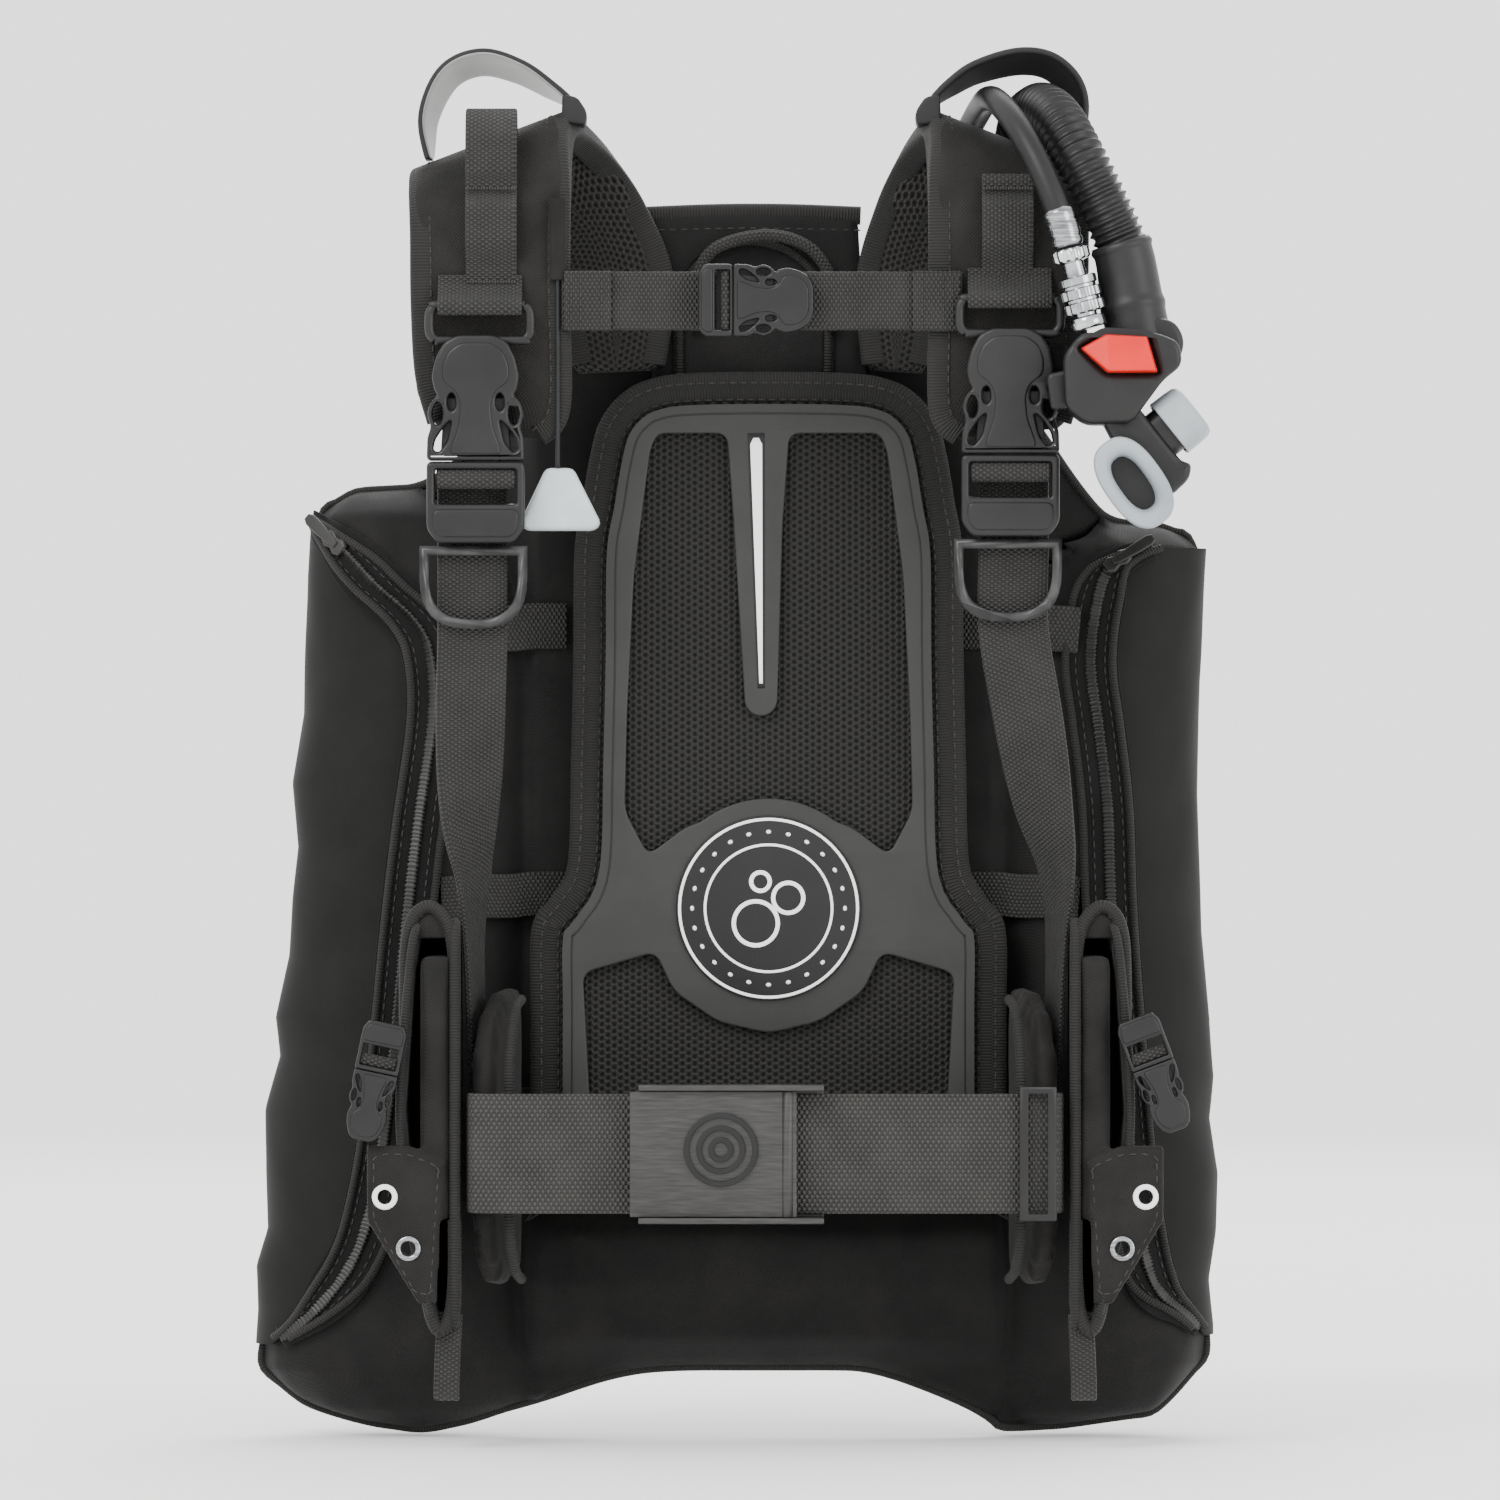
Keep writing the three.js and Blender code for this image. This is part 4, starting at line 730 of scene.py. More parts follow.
for side in ("left", "right"):
    panel = sidePanel(side)
    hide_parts(f"side_panel_{side}")
    rows = np.array(zipRows[side], float)
    z = smoothPath(rows, 220)
    angle = np.arcsin(np.clip((z[:, 1] - lobeAt(side, z[:, 0])[0]) / (lobeAt(side, z[:, 0])[1] + 3), -1, 1))
    path = smoothPath(onLobe(side, z[:, 0], angle, 3.6)[::4], 260)
    inner = smoothPath(onLobe(side, z[:, 0], angle - 0.09, 3.4)[::4], 260)
    across = unit(path - inner)
    taper = 0.42 + 0.58 * blendEdges(np.minimum(np.arange(260), np.arange(260)[::-1]), 0, 26)
    sweep(f"zip_tape_{side}", path, across, flatSection(24 * mm, 0.9 * mm), finish["zipTape"],
        scale=widths(taper))
    outwards = np.cross(tangents(path), across)
    outwards = outwards * np.sign((outwards * [0, -1, 0]).sum(1).mean())
    coilPath = smoothPath(path + outwards * 0.9 * mm, 900)
    coilAcross = smoothPath(across, 900)
    beat = 1 + 0.16 * np.sign(np.sin(np.arange(900) * np.pi / 2))
    sweep(f"zip_coil_{side}", coilPath, coilAcross, flatSection(4.6 * mm, 1.6 * mm), finish["zipCoil"],
                    scale=np.stack([beat, 1 + (beat - 1) * 2.2], 1))
    for k, shift in (("outer", 9.5 * mm), ("inner", -11 * mm)):
        rim = path + across * shift * taper[:, None] + outwards * 0.7 * mm
        sweep(f"zip_piping_{k}_{side}", rim, across, roundSection(1.7 * mm, 10), finish["binding"])
    stitchRow(f"zip_stitches_{side}", path - across * 6.6 * mm * taper[:, None] + outwards * 0.75 * mm,
        outwards)
    stitchRow(f"zip_stitches_outer_{side}", path + across * 6.2 * mm * taper[:, None]
        + outwards * 0.75 * mm, outwards)
    z = np.linspace(zipRows[side][0][0], zipRows[side][-1][0], 160)
    sweep(f"side_panel_binding_{side}", onLobe(side, z, 2.5, 2.9), (0.3, 0.9, 0.1),
        roundSection(1.9 * mm, 10), finish["binding"])
    # slider: a waisted body over the coil and a flat pull with a slot, near the top end
    spot = 14 if side == "left" else 12
    t, n, a = tangents(path)[spot], outwards[spot], across[spot]
    along = np.linspace(-6, 6, 25)[:, None] * mm
    body = path[spot] + n * 2.2 * mm + along * t
    waist = 1 - 0.25 * np.cos(np.linspace(-np.pi, np.pi, 25)) ** 2
    sweep(f"zip_slider_{side}", body, a, flatSection(8.5 * mm, 3.4 * mm), finish["zipCoil"],
        scale=widths(waist))
    pull = path[spot] + n * 4.6 * mm + np.linspace(2, -19, 30)[:, None] * mm * t
    width = np.interp(np.linspace(0, 1, 30), [0, 0.15, 0.6, 0.9, 1], [0.5, 0.8, 1, 1, 0.6])
    sweep(f"zip_pull_{side}", pull, a, flatSection(5.5 * mm, 1.6 * mm), finish["zipCoil"],
        scale=widths(width))
print("side panels and zips made")

# Back pad: mesh cushion under the frame, bound round its edge.
backPad = {"middle": 1.5, "rear": -19.9, "front": -36.9, "binding": 13,
           "halfWidths": [(-190, 101), (-172, 101.5), (-110, 101.5), (-73, 101), (-60, 93), (-45, 85.5),
               (0, 84), (45, 83),
                          (90, 82.5), (112, 79), (130, 76), (145, 72), (156, 64), (163, 52), (166, 30)]}


def padBorder(inset, count):
    # the outline's half widths mirrored about the middle, moved inwards by inset along its own normal, in
    # millimetres
    half = np.array(backPad["halfWidths"], float)
    right = np.stack([half[:, 1], half[:, 0]], 1)
    loop = np.vstack([right, (right * [-1, 1])[::-1]])
    loop = smoothPath(loop, count, True)
    t = tangents(loop, True)
    return loop - np.stack([t[:, 1], -t[:, 0]], 1) * inset


def padCushion():
    # rings from the border to the middle: half thickness = 8.4 * (1 - (1 - d/9)^2)^0.5 at d mm from the
    # border, and a slow crown
    count, depths = 360, np.array([0, 0.6, 1.6, 3, 5, 8, 12, 18, 26, 36, 48, 60, 72, 84])
    border = padBorder(0, count)
    core = np.stack([np.zeros(count), np.clip(border[:, 1], -150, 110)], 1)
    pull = depths[None, :] / 84 + 0 * border[:, :1]
    rings = border[:, None] + (core - border)[:, None] * pull[:, :, None]
    depths = np.linalg.norm(rings - border[:, None], axis=2)
    lift = 8.4 * np.sqrt(np.clip(1 - (1 - np.clip(depths / 9, 0, 1)) ** 2, 0, 1))
    middleY = (backPad["front"] + backPad["rear"]) / 2
    front = np.dstack([rings[..., 0] + backPad["middle"], middleY - lift + 0 * rings[..., 0], rings[..., 1]])
    rear = np.dstack([rings[..., 0] + backPad["middle"], middleY + lift + 0 * rings[..., 0], rings[..., 1]])
    return front * mm, rear * mm


front, rear = padCushion()
front, rear = (np.vstack([g, g[:1]]) for g in (front, rear))
padPiece = pillow("back_pad_cushion", front, rear, finish["mesh"])
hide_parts("back_pad")
edgeLoop = padBorder(6.0, 420)
edgePath = pointsAt(edgeLoop[:, 0] + backPad["middle"], (backPad["front"] + backPad["rear"]) / 2,
    edgeLoop[:, 1])
edgeOut = np.stack([tangents(edgeLoop, True)[:, 1], np.zeros(420), -tangents(edgeLoop, True)[:, 0]], 1)
sweep("back_pad_binding", edgePath, edgeOut, boxSection(14.8 * mm, 17.9 * mm, 3.6 * mm), finish["binding"],
    closed=True)
for k, inset in (("outer", 3.4), ("inner", 10.8)):
    loop = padBorder(inset, 500)
    line = pointsAt(loop[:, 0] + backPad["middle"], backPad["front"] - 0.55, loop[:, 1])
    stitchRow(f"back_pad_stitches_{k}", line, (0, -1, 0), closed=True)
print("back pad made")


def roundedLoop(points, radius, steps=7):
    # each corner becomes a quadratic arc that starts and ends at radius from it
    p = np.asarray(points, float)
    before, after = np.roll(p, 1, 0) - p, np.roll(p, -1, 0) - p
    lb, la = (np.linalg.norm(v, axis=1, keepdims=True) for v in (before, after))
    r = np.minimum(radius, np.minimum(lb, la) * 0.48)
    a, b = p + before / lb * r, p + after / la * r
    t = np.linspace(0, 1, steps)[None, :, None]
    return ((1 - t) ** 2 * a[:, None] + 2 * t * (1 - t) * p[:, None] + t ** 2 * b[:, None]).reshape(-1, 2)


def flatCut(name, loops, low, high, radius, material, body="root"):
    # a flat part cut from sheet in X and Z, from Y low to high, with edges rounded by radius: outline
    # first, then its windows
    line = bpy.data.curves.new(name, "CURVE")
    line.dimensions = "2D"
    line.fill_mode = "BOTH"
    line.extrude = (high - low) / 2 - radius
    line.bevel_depth = radius
    line.bevel_resolution = 2
    line.offset = -radius
    for loop in loops:
        spline = line.splines.new("POLY")
        spline.points.add(len(loop) - 1)
        spline.points.foreach_set("co",
            np.column_stack([loop, np.zeros(len(loop)), np.ones(len(loop))]).ravel())
        spline.use_cyclic_u = True
    holder = bpy.data.objects.new(name + "_line", line)
    bpy.context.scene.collection.objects.link(holder)
    shape = bpy.data.meshes.new_from_object(holder.evaluated_get(bpy.context.evaluated_depsgraph_get()))
    bpy.data.objects.remove(holder)
    co = np.zeros(len(shape.vertices) * 3)
    shape.vertices.foreach_get("co", co)
    co = co.reshape(-1, 3)
    pts = np.stack([co[:, 0], (low + high) / 2 - co[:, 2], co[:, 1]], 1)
    faces = [list(f.vertices) for f in shape.polygons]
    piece = newPiece(name, pts, faces, material, body)
    sharpen(piece, 40)
    return piece


def arc(cx, cz, r, start, end, count=16):
    # centre + r * (cos a, sin a), a from start to end in degrees
    a = np.radians(np.linspace(start, end, count))
    return np.stack([cx + r * np.cos(a), cz + r * np.sin(a)], 1)


# Back pad frame: welded urethane sheet with an upper window, a free tongue, a boss and a lower window.
def padFrame():
    # outline 13.6 mm inside the pad's, and two windows of straight runs and arcs; the upper one goes round
    # the tongue
    x0 = 1.5
    tongueLeft, tongueRight = [(-16.5, 141), (-13.5, 100), (-8.9, 26)], [(5.4, 26), (7.6, 100), (10.5, 141)]
    tip = arc(-1.75, 26, 7.1, 180, 360)[1:-1]
    sideTop = [(48, 141), (51, 134), (58, 80), (61, 20), (62, -22), (52, -41), (36, -29)]
    leftSide = [(x0 - x, z) for x, z in sideTop]
    bossTop = arc(x0, -64, 47.5, 128, 52)
    upper = [*leftSide, *bossTop, *[(x + x0, z) for x, z in sideTop[::-1]], *tongueRight[::-1], *tip[::-1],
        *tongueLeft[::-1]]
    lower = [(x + x0, z) for x, z in [(-80, -92), (-49, -83), (-41, -100), (-22, -113), (0, -118),
        (22, -113), (41, -100),
                                      (49, -83), (80, -92), (78, -130), (76, -168), (-76, -168), (-78, -130)]]
    border = padBorder(13.6, 260) + [x0, 0]
    return [border * mm, roundedLoop(upper, 5) * mm, roundedLoop(lower, 5) * mm]


frameSheet = flatCut("back_pad_frame_sheet", padFrame(), -41.2 * mm, -37.2 * mm, 0.9 * mm, finish["frame"])
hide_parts("back_pad_frame")
groove = np.linspace((-3.9, -41.25, 141), (-1.7, -41.25, 31), 40) * mm
sweep("strip_groove", groove, (1, 0, 0), flatSection(7.4 * mm, 0.5 * mm), finish["plate"],
    scale=widths(np.linspace(1, 0.42, 40)))
stripPath = np.linspace((-3.9, -41.3, 139), (-1.75, -41.3, 33), 40) * mm
sweep("reflective_strip", stripPath, (1, 0, 0), flatSection(5.4 * mm, 0.7 * mm), finish["reflective"],
      scale=widths(np.linspace(1, 0.28, 40) * np.r_[0.45, np.ones(39)]))
weldInset = 13.6 + 3.2
loop = padBorder(weldInset, 500)
weldOut = np.stack([tangents(loop, True)[:, 1], np.zeros(500), -tangents(loop, True)[:, 0]], 1)
sweep("frame_weld_line", pointsAt(loop[:, 0] + 1.5, -41.25, loop[:, 1]), weldOut,
    flatSection(0.8 * mm, 0.5 * mm, 2),
      finish["plate"], closed=True)

# Badge: a plain round disc with two printed rings, dots between them and a generic mark of three bubbles.
badge = {"x": 1.5, "z": -64, "face": -43.1, "rings": [(38.4, 1.3), (27.4, 1.2)], "dots": 33.0,
         "bubbles": [(-5.5, -6.5, 9.5), (8.5, 4.5, 6.5), (-3.5, 11.5, 4)]}
for k, (radius, width) in enumerate(badge["rings"]):
    line, outward = circleAt(badge["x"], badge["face"], badge["z"], radius, 160)
    sweep(f"badge_ring_{k}", line, outward, flatSection(width * mm, 0.5 * mm, 2), finish["reflective"],
        closed=True)
dotLine = circleAt(badge["x"], badge["face"] + 0.1, badge["z"], badge["dots"], 120)[0]
dots = stitchRow("badge_dots", dotLine, (0, -1, 0), closed=True, stitch=2.2 * mm, pitch=8.6 * mm,
    radius=0.9 * mm)
dots.data.materials[0] = finish["reflective"]
for k, (x, z, radius) in enumerate(badge["bubbles"]):
    line, outward = circleAt(badge["x"] + x, badge["face"], badge["z"] + z, radius, 90)
    sweep(f"badge_bubble_{k}", line, outward, flatSection(1.9 * mm, 0.5 * mm, 2), finish["reflective"],
        closed=True)
print("frame and badge made")

# Shoulder straps: padded, cloth outside and air mesh inside, bound along both edges.
strapRows = [((44, -26, 168), (84, -26, 168)), ((40, -26, 207), (92, -26, 207)),
    ((52, -27, 239), (105, -27, 230)),
             ((66, -31, 260), (133, -33, 238)), ((77, -44, 271), (146, -46, 245)),
                 ((82, -60, 274), (150, -60, 248)),
             ((84, -75, 267), (151, -75, 242)), ((84, -86, 246), (151, -86, 226)),
                 ((84, -88, 200), (151, -88, 196)),
             ((84, -88, 150), (149, -88, 166)), ((94, -88, 137), (143, -88, 142))]


def onSide(side, out, y, z):
    # the right strap is drawn in towards the middle by up to 13.5 mm
    out = np.asarray(out, float)
    x = -out if side == "left" else out - 13.5 * np.clip((out - 40) / 44, 0, 1)
    return np.stack([x, y + 0 * out, z + 0 * out], -1) * mm


def strapFrame(side, count=170):
    # smooth rows of an inner and an outer point; across = outer - inner, up = tangent x across, both made
    # unit
    rows = smoothPath(np.array([[*a, *b] for a, b in strapRows], float), count)
    inner, outer = onSide(side, rows[:, 0], rows[:, 1], rows[:, 2]), onSide(side, rows[:, 3], rows[:, 4],
        rows[:, 5])
    middle = (inner + outer) / 2
    across = unit(outer - inner)
    up = np.cross(tangents(middle), across) * (-1 if side == "left" else 1)
    return middle, inner, outer, across, up, np.linalg.norm(outer - inner, axis=1)


for side in ("left", "right"):
    middle, inner, outer, across, up, width = strapFrame(side)
    base = flatSection(60 * mm, 11.4 * mm, 6)
    section = np.broadcast_to(base, (170, len(base), 2)).copy()
    section[..., 0] = np.sign(base[:, 0]) * np.maximum(np.abs(base[:, 0]) + width[:, None] / 2 - 31 * mm, 0)
    crown = 1 + 0.0016 / (11.4 * mm) * np.cos(np.clip(section[..., 0] / (width[:, None] / 2), -1,
        1) * np.pi / 2)
    section[..., 1] *= crown
    ends = np.clip(np.minimum(np.arange(170), np.arange(170)[::-1]) / 7, 0, 1)
    section *= (0.55 + 0.45 * np.sqrt(1 - (1 - ends) ** 2))[:, None, None] ** np.array([0.25, 1.0])
    lining = (np.roll(base[:, 1], -1) + base[:, 1] < 0).astype(int)
    pad = sweep(f"shoulder_strap_{side}", middle, across, section, finish["strap"], up=up,
        second=finish["meshUv"], lining=lining)
    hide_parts(f"shoulder_pad_{side}")
    for k, line, turn, wide in (("inner", inner, 1, 11), ("outer", outer, -1, 11)):
        spot = line + across * turn * (wide / 2 - 0.6) * mm
        sweep(f"strap_binding_{k}_{side}", spot[2:-2], across[2:-2], boxSection(wide * mm, 12.9 * mm,
            2.6 * mm), finish["binding"], up=up[2:-2])
        stitchRow(f"strap_stitches_{k}_{side}", (line + across * turn * (wide - 2.6) * mm
            + up * 6.5 * mm)[4:-4], up[4:-4])
print("shoulder straps made")

# Arches over the shoulders: a springy rubber band; the left band's inner face is painted pale, a painted
# highlight.
archRoutes = {
    "left": [(-144.5, 258), (-144.5, 277), (-136, 294), (-121.7, 300), (-105.8, 296), (-92, 288),
        (-83, 282.3)],
    "right": [(71, 282.3), (79.6, 289), (91.6, 296), (110.5, 300.5), (124.7, 297), (134, 284), (134, 258.5)],
}
for side, route in archRoutes.items():
    path = smoothPath(np.array([(x, -60, z) for x, z in route]) * mm, 90)
    section = flatSection(24 * mm, 3 * mm, 5)
    down = (np.roll(section[:, 1], -1) + section[:, 1]) * -1
    inside = (down > 1.9 * mm).astype(int)
    inward = np.cross(tangents(path), [0, 1, 0])  # the band leans, so that its rear edge is the lower one
    inward = inward * np.sign(((path.mean(0) - path[45]) * inward[45]).sum())
    lean = 0.42 * np.sin(np.linspace(0, np.pi, 90))[:, None] ** 0.7
    # the left band's inner face takes the pale finish, a painted highlight; the right band's stays plain
    # rubber
    band = sweep(f"shoulder_arch_{side}_band", path, unit(np.array([0, 1, 0]) + lean * inward), section,
        finish["arch"], second=finish["archPaintedHighlight" if side == "left" else "arch"], lining=inside)
    endX = route[-1][0] if side == "left" else route[0][0]
    tab = np.array([(-4, 3.5), (2.5, 2), (6.5, -4), (6, -10), (-4.5, -9)]) * [1 if side == "left" else -1,
        1] + [endX, 282.3]
    flatCut(f"arch_tab_{side}", [roundedLoop(tab, 2) * mm], -73 * mm, -47 * mm, 1.2 * mm, finish["arch"])
    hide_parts(f"shoulder_arch_{side}")

# Webbing: gear loops, stubs and rings above the buckles, shoulder webbing, chest strap, belt.
lowerLoop = [(-95.5, 200), (-95.5, 208), (-95.8, 214), (-101, 221), (-101.3, 228), (-101, 236),
    (-95.8, 241), (-95.5, 247), (-94.6, 250)]
upperLoop = [(-95.4, 243), (-97.5, 249), (-100.5, 253), (-99.8, 261), (-98.3, 268), (-92, 276),
    (-84, 277.5), (-78, 272.5), (-76, 268)]
for side, x in (("left", -117), ("right", 103.5)):
    loops = [("lower", lowerLoop)] + ([("upper", upperLoop)] if side == "left" else [])
    for k, route in loops:
        path = smoothPath(np.array([(x, y, z) for y, z in route]) * mm, 90)
        loop = sweep(f"gear_loop_{k}_{side}", path, (1, 0, 0), flatSection(22 * mm, 2 * mm),
            finish["webbing"])
    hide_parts(f"gear_loops_{side}")
    for z in (204, 244):
        bar = np.linspace((x - 10, -96.8, z), (x + 10, -96.8, z), 30) * mm
        stitchRow(f"gear_tack_{z}_{side}", bar, (0, -1, 0), stitch=1.2 * mm, pitch=1.1 * mm, radius=0.9 * mm)
    ringX, ringZ = (-121.7, 186.5) if side == "left" else (104.4, 189.5)
    loop = roundedLoop([(ringX - 21.5, ringZ - 7.5), (ringX + 21.5, ringZ - 7.5),
        (ringX + 21.5, ringZ + 7.5), (ringX - 21.5, ringZ + 7.5)], 5.5, 9)
    wire = smoothPath(pointsAt(loop[:, 0], -101.0, loop[:, 1])[::2], 160, True)
    sweep(f"strap_ring_{side}", wire, (0, 1, 0), roundSection(2.2 * mm, 14), finish["buckle"], closed=True)
    route = [(-95.3, 207), (-96.0, 203), (-99.5, 198), (-104, 195.5), (-105.2, 192.8), (-103.4, 190.6),
        (-99.8, 191.5), (-97.3, 194.5), (-95.6, 199)]
    path = smoothPath(np.array([(ringX, y, z + ringZ - 186.5) for y, z in route]) * mm, 100)
    sweep(f"strap_stub_{side}", path, (1, 0, 0), flatSection(36 * mm, 1.8 * mm), finish["webbing"])

webEnd = [(125, -70, -50, 0.4, -0.8), (125, -66, -84, 0.2, -0.85), (122.3, -65.4, -150, 0.18, -0.85)]
webRows = {
    "left": [(125, -95.5, 122, 1, 0), (125, -95.5, 90, 1, 0), (125, -95.5, 54, 1, 0),
        (126, -89, 20, 0.98, -0.1), (126.5, -79, -20, 0.75, -0.5), *webEnd],
    "right": [(106, -95.5, 124, 1, 0), (106, -95.5, 90, 1, 0), (106, -95.5, 56, 1, 0),
        (112, -89, 20, 0.98, -0.1), (119, -79, -20, 0.75, -0.5), *webEnd],
}
for side, sign in (("left", -1), ("right", 1)):
    rows = smoothPath(np.array(webRows[side], float), 150)
    path = rows[:, :3] * [sign, 1, 1] * mm
    web = sweep(f"shoulder_web_{side}", path, rows[:, 3:] @ np.array([[sign, 0, 0], [0, 1, 0]]),
        flatSection(30 * mm, 2.4 * mm), finish["webbing"], body=None)
    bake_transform(web)
    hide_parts(f"shoulder_webbing_{side}")

chest = {"z": 196, "left": (-86.8, -20.8), "right": (13.2, 84)}
for side in ("left", "right"):
    x0, x1 = chest[side]
    path = np.linspace((x0, -95.5, chest["z"]), (x1, -95.5, chest["z"]), 60) * mm
    strap = sweep(f"chest_strap_{side}", path, (0, 0, 1), flatSection(25 * mm, 2.4 * mm), finish["webbing"],
        body=None if side == "left" else "root")
    if side == "left":
        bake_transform(strap)
    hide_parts(f"sternum_strap_{side}")
    end = x0 if side == "left" else x1
    turn = 1 if side == "left" else -1
    fold = np.linspace((end + turn * 1, -97.7, 196), (end + turn * 21, -97.7, 196), 30) * mm
    sweep(f"chest_fold_{side}", fold, (0, 0, 1), flatSection(25.6 * mm, 1.6 * mm), finish["webbing"])
    for k in (4, 8, 17):
        bar = np.linspace((end + turn * k, -98.6, 186), (end + turn * k, -98.6, 206), 30) * mm
        stitchRow(f"chest_tack_{k}_{side}", bar, (0, -1, 0), stitch=1.3 * mm, pitch=1.7 * mm,
            radius=0.45 * mm)

beltRoute = [(60, -17.1), (81, -17.1), (103, -17.1), (111, -25), (119, -62), (126.5, -99), (125, -107),
    (119, -112)]
for side, sign, end in (("left", -1, -54.3), ("right", 1, -42)):
    corner = roundedLoop(np.array(beltRoute), 3)[7:-7]
    route = [(sign * x, y) for x, y in corner] + [(sign * 110, -112),
        (sign * 80, -112)] + ([(0, -112)] if side == "right" else []) + [(end, -112)]
    path = smoothPath(np.array([(x, y, -167.5) for x, y in route]) * mm, 260)
    belt = sweep(f"waist_web_{side}", path, (0, 0, 1), flatSection(51 * mm, 2.4 * mm), finish["beltWebbing"])
    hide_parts(f"waist_belt_{side}")
print("webbing made")

# Cylinder strap: one closed run of webbing round the cylinder and behind its seat.
a = np.linspace(-50, 230, 60)
ring = np.stack([94.3 * np.cos(np.radians(a)), 92.3 + 94.3 * np.sin(np.radians(a))], 1)
ring = np.vstack([ring[ring[:, 1] > 24], [(-62, 21.2), (-50, 6), (-41.5, -5.2), (-36, -8.4), (0, -8.4),
    (36, -8.4), (41.5, -5.2), (50, 6), (62, 21.2)]])
path = smoothPath(np.array([(x, y, 0) for x, y in ring]) * mm, 300, True)
tankBand = sweep("tank_band_web", path, (0, 0, 1), flatSection(50 * mm, 2.6 * mm), finish["beltWebbing"],
    closed=True)
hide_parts("tank_band")


def settle(piece, voxel, cap, pressure=4.0, steps=20):
    # the cushion recipe: even quads, cloth blown up by pressure with no gravity, each point held within cap
    # of its start
    mesh = piece.data
    scene = bpy.context.scene
    remesh = piece.modifiers.new("evenQuads", "REMESH")
    remesh.mode = "VOXEL"
    remesh.voxel_size = voxel
    shaped = bpy.data.meshes.new_from_object(piece.evaluated_get(bpy.context.evaluated_depsgraph_get()))
    piece.modifiers.clear()
    piece.data = shaped
    shaped.materials.clear()
    for m in mesh.materials:
        shaped.materials.append(m)
    start = np.zeros(len(shaped.vertices) * 3)
    shaped.vertices.foreach_get("co", start)
    cloth = piece.modifiers.new("stuffing", "CLOTH")
    cloth.settings.use_pressure = True
    cloth.settings.uniform_pressure_force = pressure
    cloth.settings.effector_weights.gravity = 0
    cloth.settings.mass = 0.25
    for frameNumber in range(1, steps + 1):
        scene.frame_set(frameNumber)
    blown = bpy.data.meshes.new_from_object(piece.evaluated_get(bpy.context.evaluated_depsgraph_get()))
    end = np.zeros(len(start))
    blown.vertices.foreach_get("co", end)
    piece.modifiers.clear()
    scene.frame_set(1)
    move = (end - start).reshape(-1, 3)
    far = np.linalg.norm(move, axis=1, keepdims=True)
    move *= np.minimum(1, cap / np.maximum(far, 1e-9))
    shaped.vertices.foreach_set("co", (start.reshape(-1, 3) + move).ravel())
    bpy.data.meshes.remove(blown)
    shaped.polygons.foreach_set("use_smooth", np.ones(len(shaped.polygons), bool))
    shaped.update()
    eased = piece.modifiers.new("eased", "SMOOTH")
    eased.factor = 0.5
    eased.iterations = 3
    finer = piece.modifiers.new("finer", "SUBSURF")
    finer.levels = finer.render_levels = 1
    return piece


def clothCopy(node, material, voxel, cap):
    # a soft node's own shape, then filled by settle()
    source = frame["nodes"][node].data.copy()
    source.materials.clear()
    source.materials.append(material)
    piece = bpy.data.objects.new(node + "_cloth", source)
    bpy.context.scene.collection.objects.link(piece)
    work = bmesh.new()
    work.from_mesh(source)
    bmesh.ops.remove_doubles(work, verts=work.verts, dist=4e-6)
    work.to_mesh(source)
    work.free()
    settle(piece, voxel, cap)
    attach(piece, bodyOf[node])
    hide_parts(node)
    return piece


softParts = {
    "hip_flap_left": ("pouch", 2.0, 1.2, 0.7, "strap_fabric"), "hip_flap_right": ("pouch", 2.0, 1.2, 0.7,
        "strap_fabric"),
    "weight_pocket_left": ("pouch", 1.3, 0.6, 0.4, "strap_fabric"), "weight_pocket_right": ("pouch", 1.3,
        0.6, 0.4, "strap_fabric"),
    "weight_pouch_left": ("pouch", 1.3, 0.6, 0.8, "pouch_fabric"), "weight_pouch_right": ("pouch", 1.3, 0.6,
        0.8, "pouch_fabric"),
    "yoke_panel": ("shell", 1.8, 1.0, 0.5, "strap_fabric"),
}
for node, (cloth, voxel, cap, fill, slotName) in softParts.items():
    clothCopy(node, finish[cloth], voxel * mm, cap * mm)
print("flaps, pockets and yoke made")


def ribbon(name, points, side, width, thick, material, body="root", count=120, closed=False):
    # webbing or tape of one width along a smooth line
    path = smoothPath(np.array(points, float) * mm, count, closed)
    return sweep(name, path, side, flatSection(width * mm, thick * mm), material, body, closed)


def cordLine(name, points, radius, material, body="root", count=160, sides=12):
    # round piping along a smooth line, its section turned about a fixed axis
    path = smoothPath(np.array(points, float) * mm, count)
    side = np.cross(tangents(path), np.array([0.31, 0.82, 0.48]))
    return sweep(name, path, side, roundSection(radius * mm, sides), material, body)


# Yoke: bound top edge, a seam under it, and a round-ended patch behind the chest strap.
ribbon("yoke_binding", [(-52.5, -17.1, 236), (-20, -17.1, 237.2), (10, -17.1, 237.2), (41.5, -17.1, 236)],
    (0, 0, 1), 8, 6.4, finish["binding"])
seamLine = smoothPath(np.array([(-50, -20.3, 229.6), (-5, -20.6, 230.4), (40, -20.3, 229.6)]) * mm, 60)
stitchRow("yoke_stitches", seamLine, (0, -1, 0))
patch = [(-37, 160), (-37, 196), (-34, 208), (-24, 219), (-8, 224.5), (9, 221), (21, 211), (27, 197),
    (27, 160)]
ribbon("yoke_patch_edge", [(x, -21.3, z) for x, z in patch], (0, 1, 0), 2.6, 4.6, finish["binding"])
stitchRow("yoke_patch_stitches", smoothPath(np.array([(x * 0.9, -20.2, z - 4) for x, z in patch]) * mm,
    160), (0, -1, 0))
